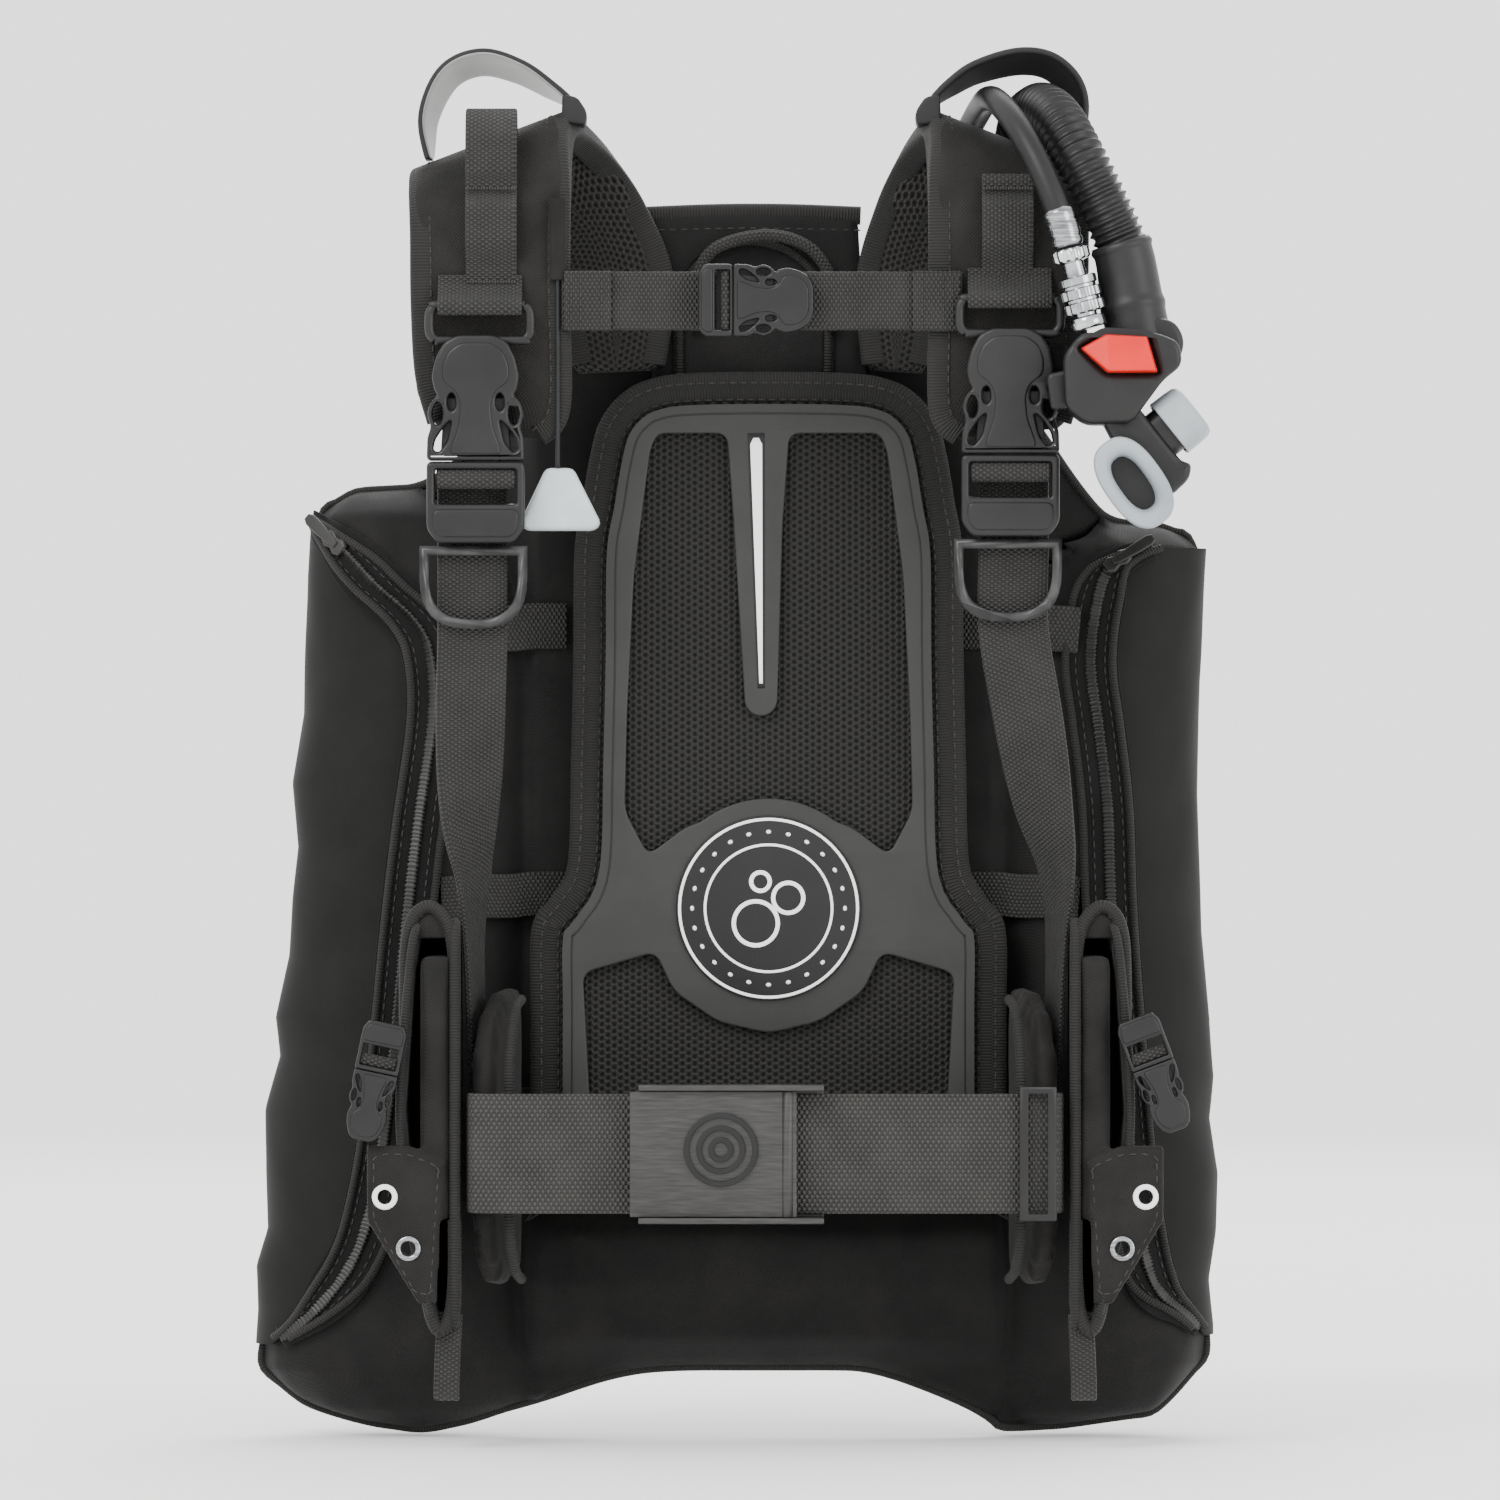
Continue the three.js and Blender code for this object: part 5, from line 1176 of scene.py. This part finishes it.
handle = ribbon("grab_handle_web", [(-30, -22.9, 186), (-31, -24.9, 204), (-22, -29, 221), (1, -30, 227),
    (20, -29, 221), (30, -24.9, 204), (29, -22.9, 186)],
                (0, 0.96, 0.3), 5.6, 5.2, finish["webbing"])
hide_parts("grab_handle")

# Bound edges and seams of pockets and flaps.
pocketRows = [(-71, 150, -60, -100), (-90, 153, -44, -105), (-150, 157, -40, -106), (-200, 152, -44, -106),
    (-238, 143, -62, -104)]
for side, sign in (("left", -1), ("right", 1)):
    rows = np.array(pocketRows, float)
    hood = [(sign * 134, -62, -70), (sign * 133, -84, -70.5), *[(sign * 132.2, f - 0.6, z) for z, _, _,
        f in rows], (sign * 134, -84, -239), (sign * 136, -64, -238.6)]
    cordLine(f"pocket_binding_inner_{side}", hood, 2.3, finish["binding"], count=240)
    hood = [(sign * 147, -62, -70.6), *[(sign * (o - 1.2), f - 0.4, z) for z, o, _, f in rows],
        (sign * 142, -66, -239)]
    cordLine(f"pocket_binding_outer_{side}", hood, 1.8, finish["binding"], count=240)
    tab = [(sign * 134.5, -101.5, -236), (sign * 135.5, -101, -254), (sign * 136, -100, -268),
        (sign * 136, -96.5, -272.5), (sign * 136, -93.5, -267), (sign * 135.5, -93, -252),
            (sign * 135, -94, -240)]
    ribbon(f"pocket_tab_{side}", tab, (sign, 0.12, 0), 11, 1.8, finish["webbing"], count=90)
    # a bound hood arches over the pocket's open front; below, the same tape draws in to a point
    arch = [(sign * 132.6, -102.5, -104), (sign * 132.8, -102, -84), (sign * 135.5, -101, -70),
        (sign * 142.5, -100.5, -62.5), (sign * 149.5, -100.5, -66), (sign * 153, -101, -78),
            (sign * 153.6, -101.6, -100), (sign * 153.4, -102.2, -118)]
    cordLine(f"pocket_hood_{side}", arch, 2.7, finish["binding"], count=200)
    foot = [(sign * 132.4, -105.5, -196), (sign * 132.6, -105, -222), (sign * 134.5, -104, -237),
        (sign * 138.5, -104, -243), (sign * 142, -104, -238), (sign * 144.5, -104.5, -226)]
    cordLine(f"pocket_foot_{side}", foot, 2.9, finish["binding"], count=160)
    hoodLoop = np.array([(134, -76), (137, -69), (142.5, -64.5), (148, -68), (151, -76)]) * [sign, 1]
    flatCut(f"pocket_hood_cloth_{side}", [hoodLoop * mm], -100.5 * mm, -66 * mm, 1.2 * mm, finish["pouch"])
    flap = [(sign * 104.5, -78, -102.5), (sign * 107, -93, -108), (sign * 109, -100.5, -130),
        (sign * 109, -100.8, -165),
            (sign * 109, -100.5, -200), (sign * 107, -92, -217), (sign * 104.5, -78, -222.5)]
    cordLine(f"flap_binding_{side}", flap, 2.2, finish["binding"], count=220)
    # the grip's two eyelets, pressed metal rings in the release flap; the upper one is coloured near white, a
    # painted reflection on its metal
    for k, (x, z) in enumerate(((162, -186), (152, -208))):
        spot = circleAt(sign * x, -109.6, z, 4.3, 48)[0]
        # the first eyelet takes the near-white finish: painted reflection
        sweep(f"eyelet_{k}_{side}", spot, (0, 1, 0), roundSection(1.2 * mm, 10) * [0.7, 1],
            finish["reflective" if k == 0 else "ferrule"], f"pouch_{side}", closed=True)
    gripLoop = [(137, -171), (152, -165), (169, -165), (169, -196), (148, -231), (141, -231)]
    line = np.array([(sign * x, -109.5, z) for x, z in roundedLoop(gripLoop, 4)]) * mm
    line = np.mean(line, 0) + (line - np.mean(line, 0)) * [0.86, 1, 0.9]
    stitchRow(f"grip_stitches_{side}", line, (0, -1, 0), f"pouch_{side}", closed=True)
    # side cloth between pad and zip: two dark bands of webbing across it
    for k, (z0, wide) in enumerate(((58, 20), (-58, 19))):
        x0, x1 = (86, 140) if side == "left" else (86, 136)
        band = [(sign * x0, -16.0, z0), (sign * (x0 + 14), -16.6, z0), (sign * (x0 + 24), -20, z0 - 1),
            (sign * (x0 + 38), -27.2, z0 - 1), (sign * x1, -29.2, z0 - 2)]
        ribbon(f"cell_band_{k}_{side}", band, (0, 0, 1), wide, 1.4, finish["webbing"], count=60)
print("bindings made")

# Corrugated hose: rings of 3.9 mm pitch, radius 11.5 at the crests and 9.9 between them.
hose = {"radius": 11.5, "pitch": 3.9, "dip": 0.14,
        "route": [(155, -105, 204.6), (154.4, -105, 212), (150, -105, 224), (143, -105, 239),
            (134, -102, 257), (126, -90, 272), (120, -72, 279),
                  (116, -54, 279), (112, -36, 275), (110, -18, 265), (106, -4, 248), (100, 6, 224),
                      (92, 14, 200), (84, 18, 181), (78, 15, 166), (76, 6, 157.9), (76, -6, 157.5)]}
path = smoothPath(np.array(hose["route"]) * mm, 760)
steps = np.linspace(0, pathLength(path) / mm, 760)
beat = 1 - hose["dip"] * (0.5 - 0.5 * np.cos(2 * np.pi * steps / hose["pitch"])) ** 0.6
beat[:8] = beat[-8:] = 0.97
side = np.cross(tangents(path), np.array([0.55, 0.3, 0.78]))
corrugated = sweep("corrugated_hose_tube", path, side, roundSection(hose["radius"] * mm, 28),
    finish["hose"], body=None, scale=beat)
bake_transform(corrugated)
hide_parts("corrugated_hose")

# Low-pressure hose: 11 mm rubber, from the coupling over the shoulder and down behind the vest.
lpHose = {"diameter": 0.011, "exit": (0.1288, -0.119, 0.2183),
          "route": [(0.1288, -0.119, 0.2183), (0.1265, -0.119, 0.227), (0.122, -0.118, 0.24),
              (0.115, -0.113, 0.256), (0.107, -0.102, 0.271),
                    (0.1, -0.086, 0.281), (0.096, -0.066, 0.284), (0.093, -0.046, 0.281),
                        (0.088, -0.026, 0.272), (0.08, -0.006, 0.254),
                    (0.07, 0.005, 0.228), (0.061, 0.006, 0.2), (0.057, 0.006, 0.172), (0.058, 0.006, 0.14),
                        (0.063, 0.006, 0.095),
                    (0.068, 0.006, 0.045), (0.07, 0.005, 0), (0.07, 0.005, -0.05), (0.07, 0.005, -0.1),
                        (0.07, 0.005, -0.145)]}
path = smoothPath(np.array(lpHose["route"]), 420)
side = np.cross(tangents(path), np.array([0.55, 0.3, 0.78]))
hosePiece = sweep("lp_hose_tube", path, side, roundSection(lpHose["diameter"] / 2, 20), finish["lpHose"],
    body=None)
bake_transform(hosePiece)
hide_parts("lp_hose")
print("low-pressure hose length", round(pathLength(path), 4))
crimp = np.array([0.9, 1, 1, 0.94, 1, 1, 1, 1, 0.94, 1, 1, 1, 0.9])
sweep("lp_hose_ferrule", path[:13], side[:13], roundSection(6.7 * mm, 28), finish["ferrule"], "inflator",
    scale=crimp)

# Pull-dump cord: 2 mm line from a sleeve on the strap to the toggle.
dumpLine = {"diameter": 0.002, "x": -0.0886, "y": -0.0953, "top": 0.23, "end": 0.125}
path = np.linspace((dumpLine["x"], dumpLine["y"], dumpLine["top"]), (dumpLine["x"], dumpLine["y"],
    dumpLine["end"]), 60)
dumpPiece = sweep("dump_line", path, (1, 0, 0), roundSection(dumpLine["diameter"] / 2, 10),
    finish["bungee"], "dump_pull")
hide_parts("dump_cord")
ribbon("dump_sleeve", [(-88.6, -95.2, 240), (-88.6, -95.6, 224), (-88.6, -95.6, 205)], (1, 0, 0), 7.5, 3.4,
    finish["strap"], count=40)
bungeeTurn = fullTurn(80)
bungee = pointsAt(160 + 4.6 * np.cos(bungeeTurn), -97 + 16 * np.sin(bungeeTurn),
    206 + 9 * np.cos(bungeeTurn + 0.4))
sweep("hose_bungee", bungee, (0.3, 0.1, 0.9), roundSection(0.9 * mm, 10), finish["bungee"], "inflator",
    closed=True)

# Belt buckle: a generic round emblem of rings on the cam plate.
for k, radius in enumerate((14.6, 9.2, 4.2)):
    line, outward = circleAt(-19, -121.5, -165.6, radius, 90)
    sweep(f"cam_emblem_{k}", line, outward, flatSection(2.2 * mm, 0.5 * mm, 2), finish["plate"], "belt_cam",
        closed=True)
print("hoses, cords and emblem made")

# Side-release buckles: a socket with two spring openings and a raised spine, and a ladder-lock clip with a
# webbing bar.
socketHalf = [(0, 53.5), (8, 53.5), (13.5, 50.5), (17, 44), (18.8, 36), (17.6, 30), (16.2, 28),
    (19.4, 24.5), (20.8, 19.5), (18.9, 14.5), (20.6, 10), (20.9, 0)]
springSlot = np.array([(10.4, 29.2), (12, 27), (12, 22.5), (10.2, 20.8), (8.6, 23), (8.8, 27.5)])
earOval = np.stack([16.3 + 2.2 * np.cos(np.linspace(0, 2 * np.pi, 20)[:-1]),
    20.0 + 4.8 * np.sin(np.linspace(0, 2 * np.pi, 20)[:-1])], 1)
springGap = np.array([(10.2, 17.6), (13.6, 14.6), (17.4, 9), (18.2, 4.6), (15.8, 3.4), (12.2, 8)])
spineHalf = [(0, 50.5), (7, 50.2), (12, 46.5), (14.6, 40), (14.2, 33.5), (8.4, 29.5), (6.6, 24), (7.4, 15),
    (10.6, 6), (11, 2.5), (0, 2.5)]


def mirrored(half):
    # the half outline and its mirror (-x, z), back to front
    half = np.array(half, float)
    return np.vstack([half, (half * [-1, 1])[::-1][(1 if half[-1, 0] == 0 else 0):-1]])


def turnedAt(loop, sx, sz, turn, cx, cz):
    # scaled, turned by the angle about Y and set down at (cx, cz)
    p = np.asarray(loop, float) * [sx, sz]
    c, s = np.cos(turn), np.sin(turn)
    return np.stack([cx + p[:, 0] * c + p[:, 1] * s, cz - p[:, 0] * s + p[:, 1] * c], 1) * mm


def releaseBuckle(tag, node, clipNode, cx, cz, sx, sz, turn, low, high, clipLength):
    # the socket stands on (cx, cz), the clip hangs below it; both from Y low to high, scaled from a 38 mm
    # buckle
    size = min(sx, sz)
    body = bodyOf[clipNode]

    def cut(part, loops, near, far, radius, tall=sz, material="buckle", rides="root"):
        # the loops are scaled, turned and set in place, then cut from Y near to far
        placed = [turnedAt(p, sx, tall, turn, cx, cz) for p in loops]
        return flatCut(f"{tag}_{part}", placed, near * mm, far * mm, radius * size * mm, finish[material],
            rides)

    loops = [roundedLoop(mirrored(socketHalf), 2.2)]
    for hole in (springSlot, earOval, springGap):
        shape = hole if len(hole) > 10 else roundedLoop(hole, 1.6, 4)
        loops += [shape, shape * [-1, 1]]
    socket = cut("socket", loops, low, high - 0.6, 1.5)
    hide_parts(node)
    cut("spine", [roundedLoop(mirrored(spineHalf), 2.5)], low - 0.7, low + 2.6, 1.3)
    coreLoop = roundedLoop([(-15, 2), (15, 2), (13.5, 27), (-13.5, 27)], 2)
    cut("core", [coreLoop], low + 4.2 * size, low + 7.4 * size, 0.6, material="plate")
    k = clipLength / 35
    plateLoop = [(-20.9, -0.4), (20.9, -0.4), (20.9, -29 * k), (16.5, -35 * k), (-16.5, -35 * k),
        (-20.9, -29 * k)]
    window = [(-17.4, -3.6 * k), (17.4, -3.6 * k), (17.4, -18.4 * k), (-17.4, -18.4 * k)]
    clip = cut("clip", [roundedLoop(plateLoop, 2.6), roundedLoop(window, 1.2)], low + 0.3, high - 0.6, 1.6,
        sx, rides=body)
    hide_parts(clipNode)
    lipLoop = [(-18.4, -20.6 * k), (18.4, -20.6 * k), (18.4, -28 * k), (15.5, -32.6 * k),
        (-15.5, -32.6 * k), (-18.4, -28 * k)]
    cut("lip", [roundedLoop(lipLoop, 3)], low - 0.5, low + 2.4, 1.2, sx, rides=body)
    # webbing folded over the ladder bar in the upper half of the window
    a = np.radians(np.linspace(-65, 245, 40))
    fold = np.stack([0 * a, -7.6 * k + 3.6 * k * np.cos(a)], 1)
    spots = turnedAt(fold, sx, sx, turn, cx, cz)
    bar = np.stack([spots[:, 0], ((low + high) / 2 - 0.6 - 3.4 * size * np.sin(a)) * mm, spots[:, 1]], 1)
    across = np.array([np.cos(turn), 0, -np.sin(turn)])
    sweep(f"{tag}_web_fold", bar, across, flatSection(33.5 * sx * mm, 1.7 * size * mm), finish["webbing"],
        body)


shoulderSize = {"sx": 1, "sz": 1, "turn": 0, "low": -108, "high": -97, "clipLength": 35.2}
pocketSize = {"sx": 0.45, "sz": 0.55, "low": -114.6, "high": -106.6, "clipLength": 48}
buckles = {
    "shoulder_buckle_left": {"node": "shoulder_buckle_socket_left", "clipNode": "shoulder_buckle_clip_left",
        "cx": -123.4, "cz": 127.6, **shoulderSize},
    "shoulder_buckle_right": {"node": "shoulder_buckle_socket_right",
        "clipNode": "shoulder_buckle_clip_right", "cx": 104.5, "cz": 130.6, **shoulderSize},
    "chest_buckle": {"node": "sternum_buckle_socket", "clipNode": "sternum_buckle_clip", "cx": -13.6,
        "cz": 196, "sx": 0.74, "sz": 0.64, "turn": np.pi / 2, "low": -106, "high": -97, "clipLength": 20},
    "pocket_buckle_left": {"node": "pocket_buckle_socket_left", "clipNode": "pocket_buckle_clip_left",
        "cx": -165.5, "cz": -133, "turn": 0.21 + np.pi, **pocketSize},
    "pocket_buckle_right": {"node": "pocket_buckle_socket_right", "clipNode": "pocket_buckle_clip_right",
        "cx": 165, "cz": -130, "turn": -0.36 + np.pi, **pocketSize},
}
for tag, facts in buckles.items():
    releaseBuckle(tag, **facts)
print("release buckles made")
# Inflator head: housing in two layers, pressed wedge button, elbow, exhaust arm with its cup button, oval
# mouthpiece.
def ringStack(name, origin, u, v, loop, rows, material, body="inflator", hollow=False):
    # stacked rings: point = origin + u * a * loopU + v * b * loopV + (u x v) * height, one (a, b, height) a
    # row; hollow joins last row to first
    rows, loop = np.array(rows, float), np.asarray(loop, float)
    u, v = unit(np.array(u, float)), unit(np.array(v, float))
    loop = np.broadcast_to(loop, (len(rows),) + loop.shape[-2:])
    pts = np.array(origin) + (rows[:, :1] * loop[..., 0])[..., None] * u + (rows[:, 1:2]
        * loop[..., 1])[..., None] * v + rows[:, 2, None, None] * np.cross(u, v)
    n, m = loop.shape[:2]
    faces = quads(n, m, hollow, True).tolist()
    if not hollow:
        faces += [list(range(m)), list(range((n - 1) * m, n * m))[::-1]]
    piece = newPiece(name, pts * mm, faces, material, body)
    sharpen(piece, 40)
    return piece


def ovalLoop(power, count=64):
    # superellipse |x|^p + |y|^p = 1
    a = fullTurn(count)
    return np.stack([np.sign(np.cos(a)) * np.abs(np.cos(a)) ** (2 / power),
        np.sign(np.sin(a)) * np.abs(np.sin(a)) ** (2 / power)], 1)


headLoop = [(126.5, 172), (134, 181.4), (166, 181.4), (175.5, 177.5), (177, 167.5), (169, 161.5),
    (156.5, 144.5), (153, 142.6), (136, 142.6), (127.5, 149.5)]
wedge = [(133.6, 174.6), (144.2, 180.6), (162, 179.6), (166.4, 164.4), (145, 164.2)]
rear = flatCut("inflator_housing", [roundedLoop(headLoop, 4) * mm], -122.4 * mm, -96 * mm, 1.6 * mm,
    finish["inflator"], "inflator")
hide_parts("inflator_body")
middle = np.mean(wedge, 0)
flatCut("inflator_face", [roundedLoop(headLoop, 4) * mm,
    roundedLoop(middle + (np.array(wedge) - middle) * 1.09, 2) * mm], -130.4 * mm, -121.6 * mm, 2.2 * mm,
        finish["inflator"], "inflator")
flatCut("inflator_ear",
    [roundedLoop([(160, 166), (168, 165), (176.5, 170), (178.5, 179), (174, 187), (162, 189)], 6) * mm],
        -118 * mm, -98 * mm, 2.5 * mm, finish["inflator"], "inflator")
flatCut("inflator_clip", [roundedLoop([(119.5, 164), (128.5, 166), (129.5, 150), (121.5, 148.5)],
    2.5) * mm], -121 * mm, -110.4 * mm, 1.8 * mm, finish["inflator"], "inflator")
# the button's face is folded along a line from its upper left corner to its lower left one
front = [-132.4, -135.2, -136, -137.8, -137.8]
inner = middle + (np.array(wedge) - middle) * 0.93
verts = [(x, -126, z) for x, z in wedge] + [(x, -131, z) for x, z in wedge] + [(x, y, z) for (x, z),
    y in zip(inner, front)]
faces = [[4, 3, 2, 1, 0]] + [[k + i, k + (i + 1) % 5, k + 5 + (i + 1) % 5, k + 5 + i] for k in (0,
    5) for i in range(5)] + [[10, 11, 14], [11, 12, 13, 14]]
button = newPiece("inflate_button_wedge", np.array(verts) * mm, faces, finish["red"],
    bodyOf["inflate_button"], smooth=True)
soften = button.modifiers.new("mouldRadius", "BEVEL")
soften.width = 1.1 * mm
soften.segments = 3
soften.limit_method = "ANGLE"
soften.angle_limit = np.radians(9)
soften.harden_normals = True
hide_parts("inflate_button")
# elbow: a smooth rubber sleeve from the last hose ring into the housing, with a rolled edge
elbow = smoothPath(np.array([(151.4, -105, 220.5), (153.4, -105, 213), (154.7, -105, 205.5),
    (156, -105.6, 197), (157.8, -106.2, 187), (159.5, -106.6, 177)]) * mm, 60)
t = np.linspace(0, 1, 60)
bulge = (12.5 + 1.5 * t + 0.9 * np.exp(-((t - 0.045) / 0.03) ** 2)
    + 0.7 * np.exp(-((t - 0.62) / 0.05) ** 2)) * mm
sweep("hose_elbow", elbow, (1, 0, 0.2), roundSection(1.0, 40), finish["inflator"], "inflator", scale=bulge)
# exhaust arm, boot and cup button share one slanted frame: u runs down the arm, n out through the button
slant = {"x": 177.5, "z": 145.5, "angle": np.arctan2(0.78, 0.62)}
uAxis = np.array([np.cos(slant["angle"]), 0, -np.sin(slant["angle"])])
nAxis = np.array([np.sin(slant["angle"]), 0, np.cos(slant["angle"])])


def onSlant(u, n):
    # point of the slanted frame in X and Z: centre + u * uAxis + n * nAxis
    return slant["x"] + u * uAxis[0] + n * nAxis[0], slant["z"] + u * uAxis[2] + n * nAxis[2]


armLoop = [onSlant(u, n) for u, n in ((-21, -12.2), (14, -12.2), (17.5, -9.5), (22, -14), (23, -25),
    (12, -31), (-8, -30), (-24, -27))]
arm = flatCut("exhaust_arm", [roundedLoop(armLoop, 3.5) * mm], -126.2 * mm, -98 * mm, 3 * mm,
    finish["inflator"], "inflator")
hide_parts("mouthpiece_body")
centre = (slant["x"], -112, slant["z"])
capRows = [(9.6, 10.6, 6.4), (11.6, 12.4, 5.7), (12.7, 13.6, 3.8), (13, 14, 0), (13.1, 14.1, -7.2),
    (12.6, 13.6, -7.6), (12, 13, -7.2), (11.8, 12.8, 2.2), (0.1, 0.1, 2.4)]
cap = ringStack("deflate_button_cup", centre, uAxis, (0, 1, 0), ovalLoop(3.4), capRows, finish["grey"],
    bodyOf["deflate_button"])
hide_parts("deflate_button")
ringStack("deflate_boot", centre, uAxis, (0, 1, 0), ovalLoop(3.4), [(10.6, 11.6, -13), (10.6, 11.6, -4),
    (9.6, 10.6, -3.2)], finish["inflator"])
# mouthpiece: oval tube with a flared, rolled lip, and a dark throat behind it
longAxis = np.array([np.cos(0.95), 0, -np.sin(0.95)])
lipRows = [(13.6, 8.4, 4), (14.4, 8.9, -1), (15.4, 9.6, -4), (18.6, 11.4, -6.4), (20.6, 12.4, -8.6),
    (21, 12.6, -10.4), (20.2, 11.9, -11.9), (18.2, 10.4, -12.5),
           (15.6, 8.6, -12.2), (13.8, 7, -10.6), (12.9, 6.2, -7.4), (12.5, 5.9, 0), (12.5, 5.9, 4)]
shortAxis = np.cross([0, 1, 0], longAxis)
lip = ringStack("mouthpiece_lip", (156, -126.3, 117.5), longAxis, shortAxis, ovalLoop(2.5), lipRows,
    finish["silicone"], hollow=True)
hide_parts("mouthpiece")
throat = [(13, 6.4, -1.5), (13.4, 8.2, 3), (13.4, 8.2, 9)]
ringStack("mouthpiece_throat", (156, -126.3, 117.5), longAxis, shortAxis, ovalLoop(2.5), throat,
    finish["inflator"])
neck = np.linspace((157, -119.5, 118.8), (170, -110, 128), 20) * mm
sweep("mouthpiece_neck", neck, longAxis, roundSection(1.0, 32) * [13.2 * mm, 8.4 * mm], finish["inflator"],
    "inflator")

# Quick coupling: knurled nut, core, knurled sliding collar and base ring, all on one tilted axis.
axisU = np.array([np.cos(0.258), 0, np.sin(0.258)])
circle = roundSection(1.0, 96)
knurled = circle * (1 + 0.045 * np.cos(14 * fullTurn(96)))[:, None]
coupling = [(5.6, 0), (7.2, -0.3), (7.9, -1), (7.9, -4.8), (7.2, -5.7), (5.2, -6), (4.6, -6.4),
    (4.6, -29.6), (5.2, -30), (7.2, -30.2), (7.7, -30.8), (7.7, -34.6), (7.2, -35.2)]
nut = ringStack("coupling_core", (129, -119, 217.5), axisU, (0, 1, 0),
    [knurled if k in (2, 3) else circle for k in range(len(coupling))],
                [(r, r, h) for r, h in coupling], finish["chrome"])
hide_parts("lp_coupling")
collar = [(5.2, -12.5), (7.4, -12.5), (8.2, -13), (8.2, -15.9), (7.3, -16.5), (7.3, -17.5), (8.4, -18.1),
    (8.4, -21.7), (7.3, -22.3), (7.3, -23.3), (8.4, -23.9), (8.4, -27.7), (7.6, -28.5), (5.2, -28.5)]
ring = ringStack("coupling_collar", (129, -119, 217.5), axisU, (0, 1, 0),
    [knurled if k in (6, 7, 10, 11) else circle for k in range(len(collar))],
                 [(r, r, h) for r, h in collar], finish["chrome"], bodyOf["lp_collar"], hollow=True)
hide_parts("lp_collar")
print("inflator head and coupling made")

# Floor and light: plain pale floor, large soft lamps.
lights = {"key": ((-1.8, -2.6, 2.4), 1.6, 95), "fill": ((2.6, -2.2, 0.8), 1.8, 45),
    "back": ((0.4, 2.6, 2.4), 2.0, 70)}


def studio(spec):
    # each lamp is a square of the given width turned to the vest's middle
    for name, (place, size, power) in spec.items():
        data = bpy.data.lights.new(name, "AREA")
        data.size = size
        data.energy = power
        lamp = bpy.data.objects.new(name, data)
        bpy.context.scene.collection.objects.link(lamp)
        lamp.location = place
        lamp.rotation_euler = (Vector((0, 0, 0)) - Vector(place)).to_track_quat("-Z", "Y").to_euler()
    world = bpy.data.worlds.new("studio")
    world.use_nodes = True
    world.node_tree.nodes["Background"].inputs[0].default_value = (1, 1, 1, 1)
    world.node_tree.nodes["Background"].inputs[1].default_value = 2.1
    bpy.context.scene.world = world


studio(lights)
floorMaterial, floorTree, floorShader = startMaterial("paintedFloor", "#f2f2f1", 0.85)
dye(floorTree, floorShader, mottle(floorTree, 3), "#f0f0ef", "#f5f5f4")
a = np.linspace(-4, 4, 9)
floorPoints = np.stack([*np.meshgrid(a, a), np.full((9, 9), cadBox[0].z - 1.2 * mm)], -1)
floor = newPiece("floor", floorPoints, quads(9, 9), floorMaterial, None, outward=False)
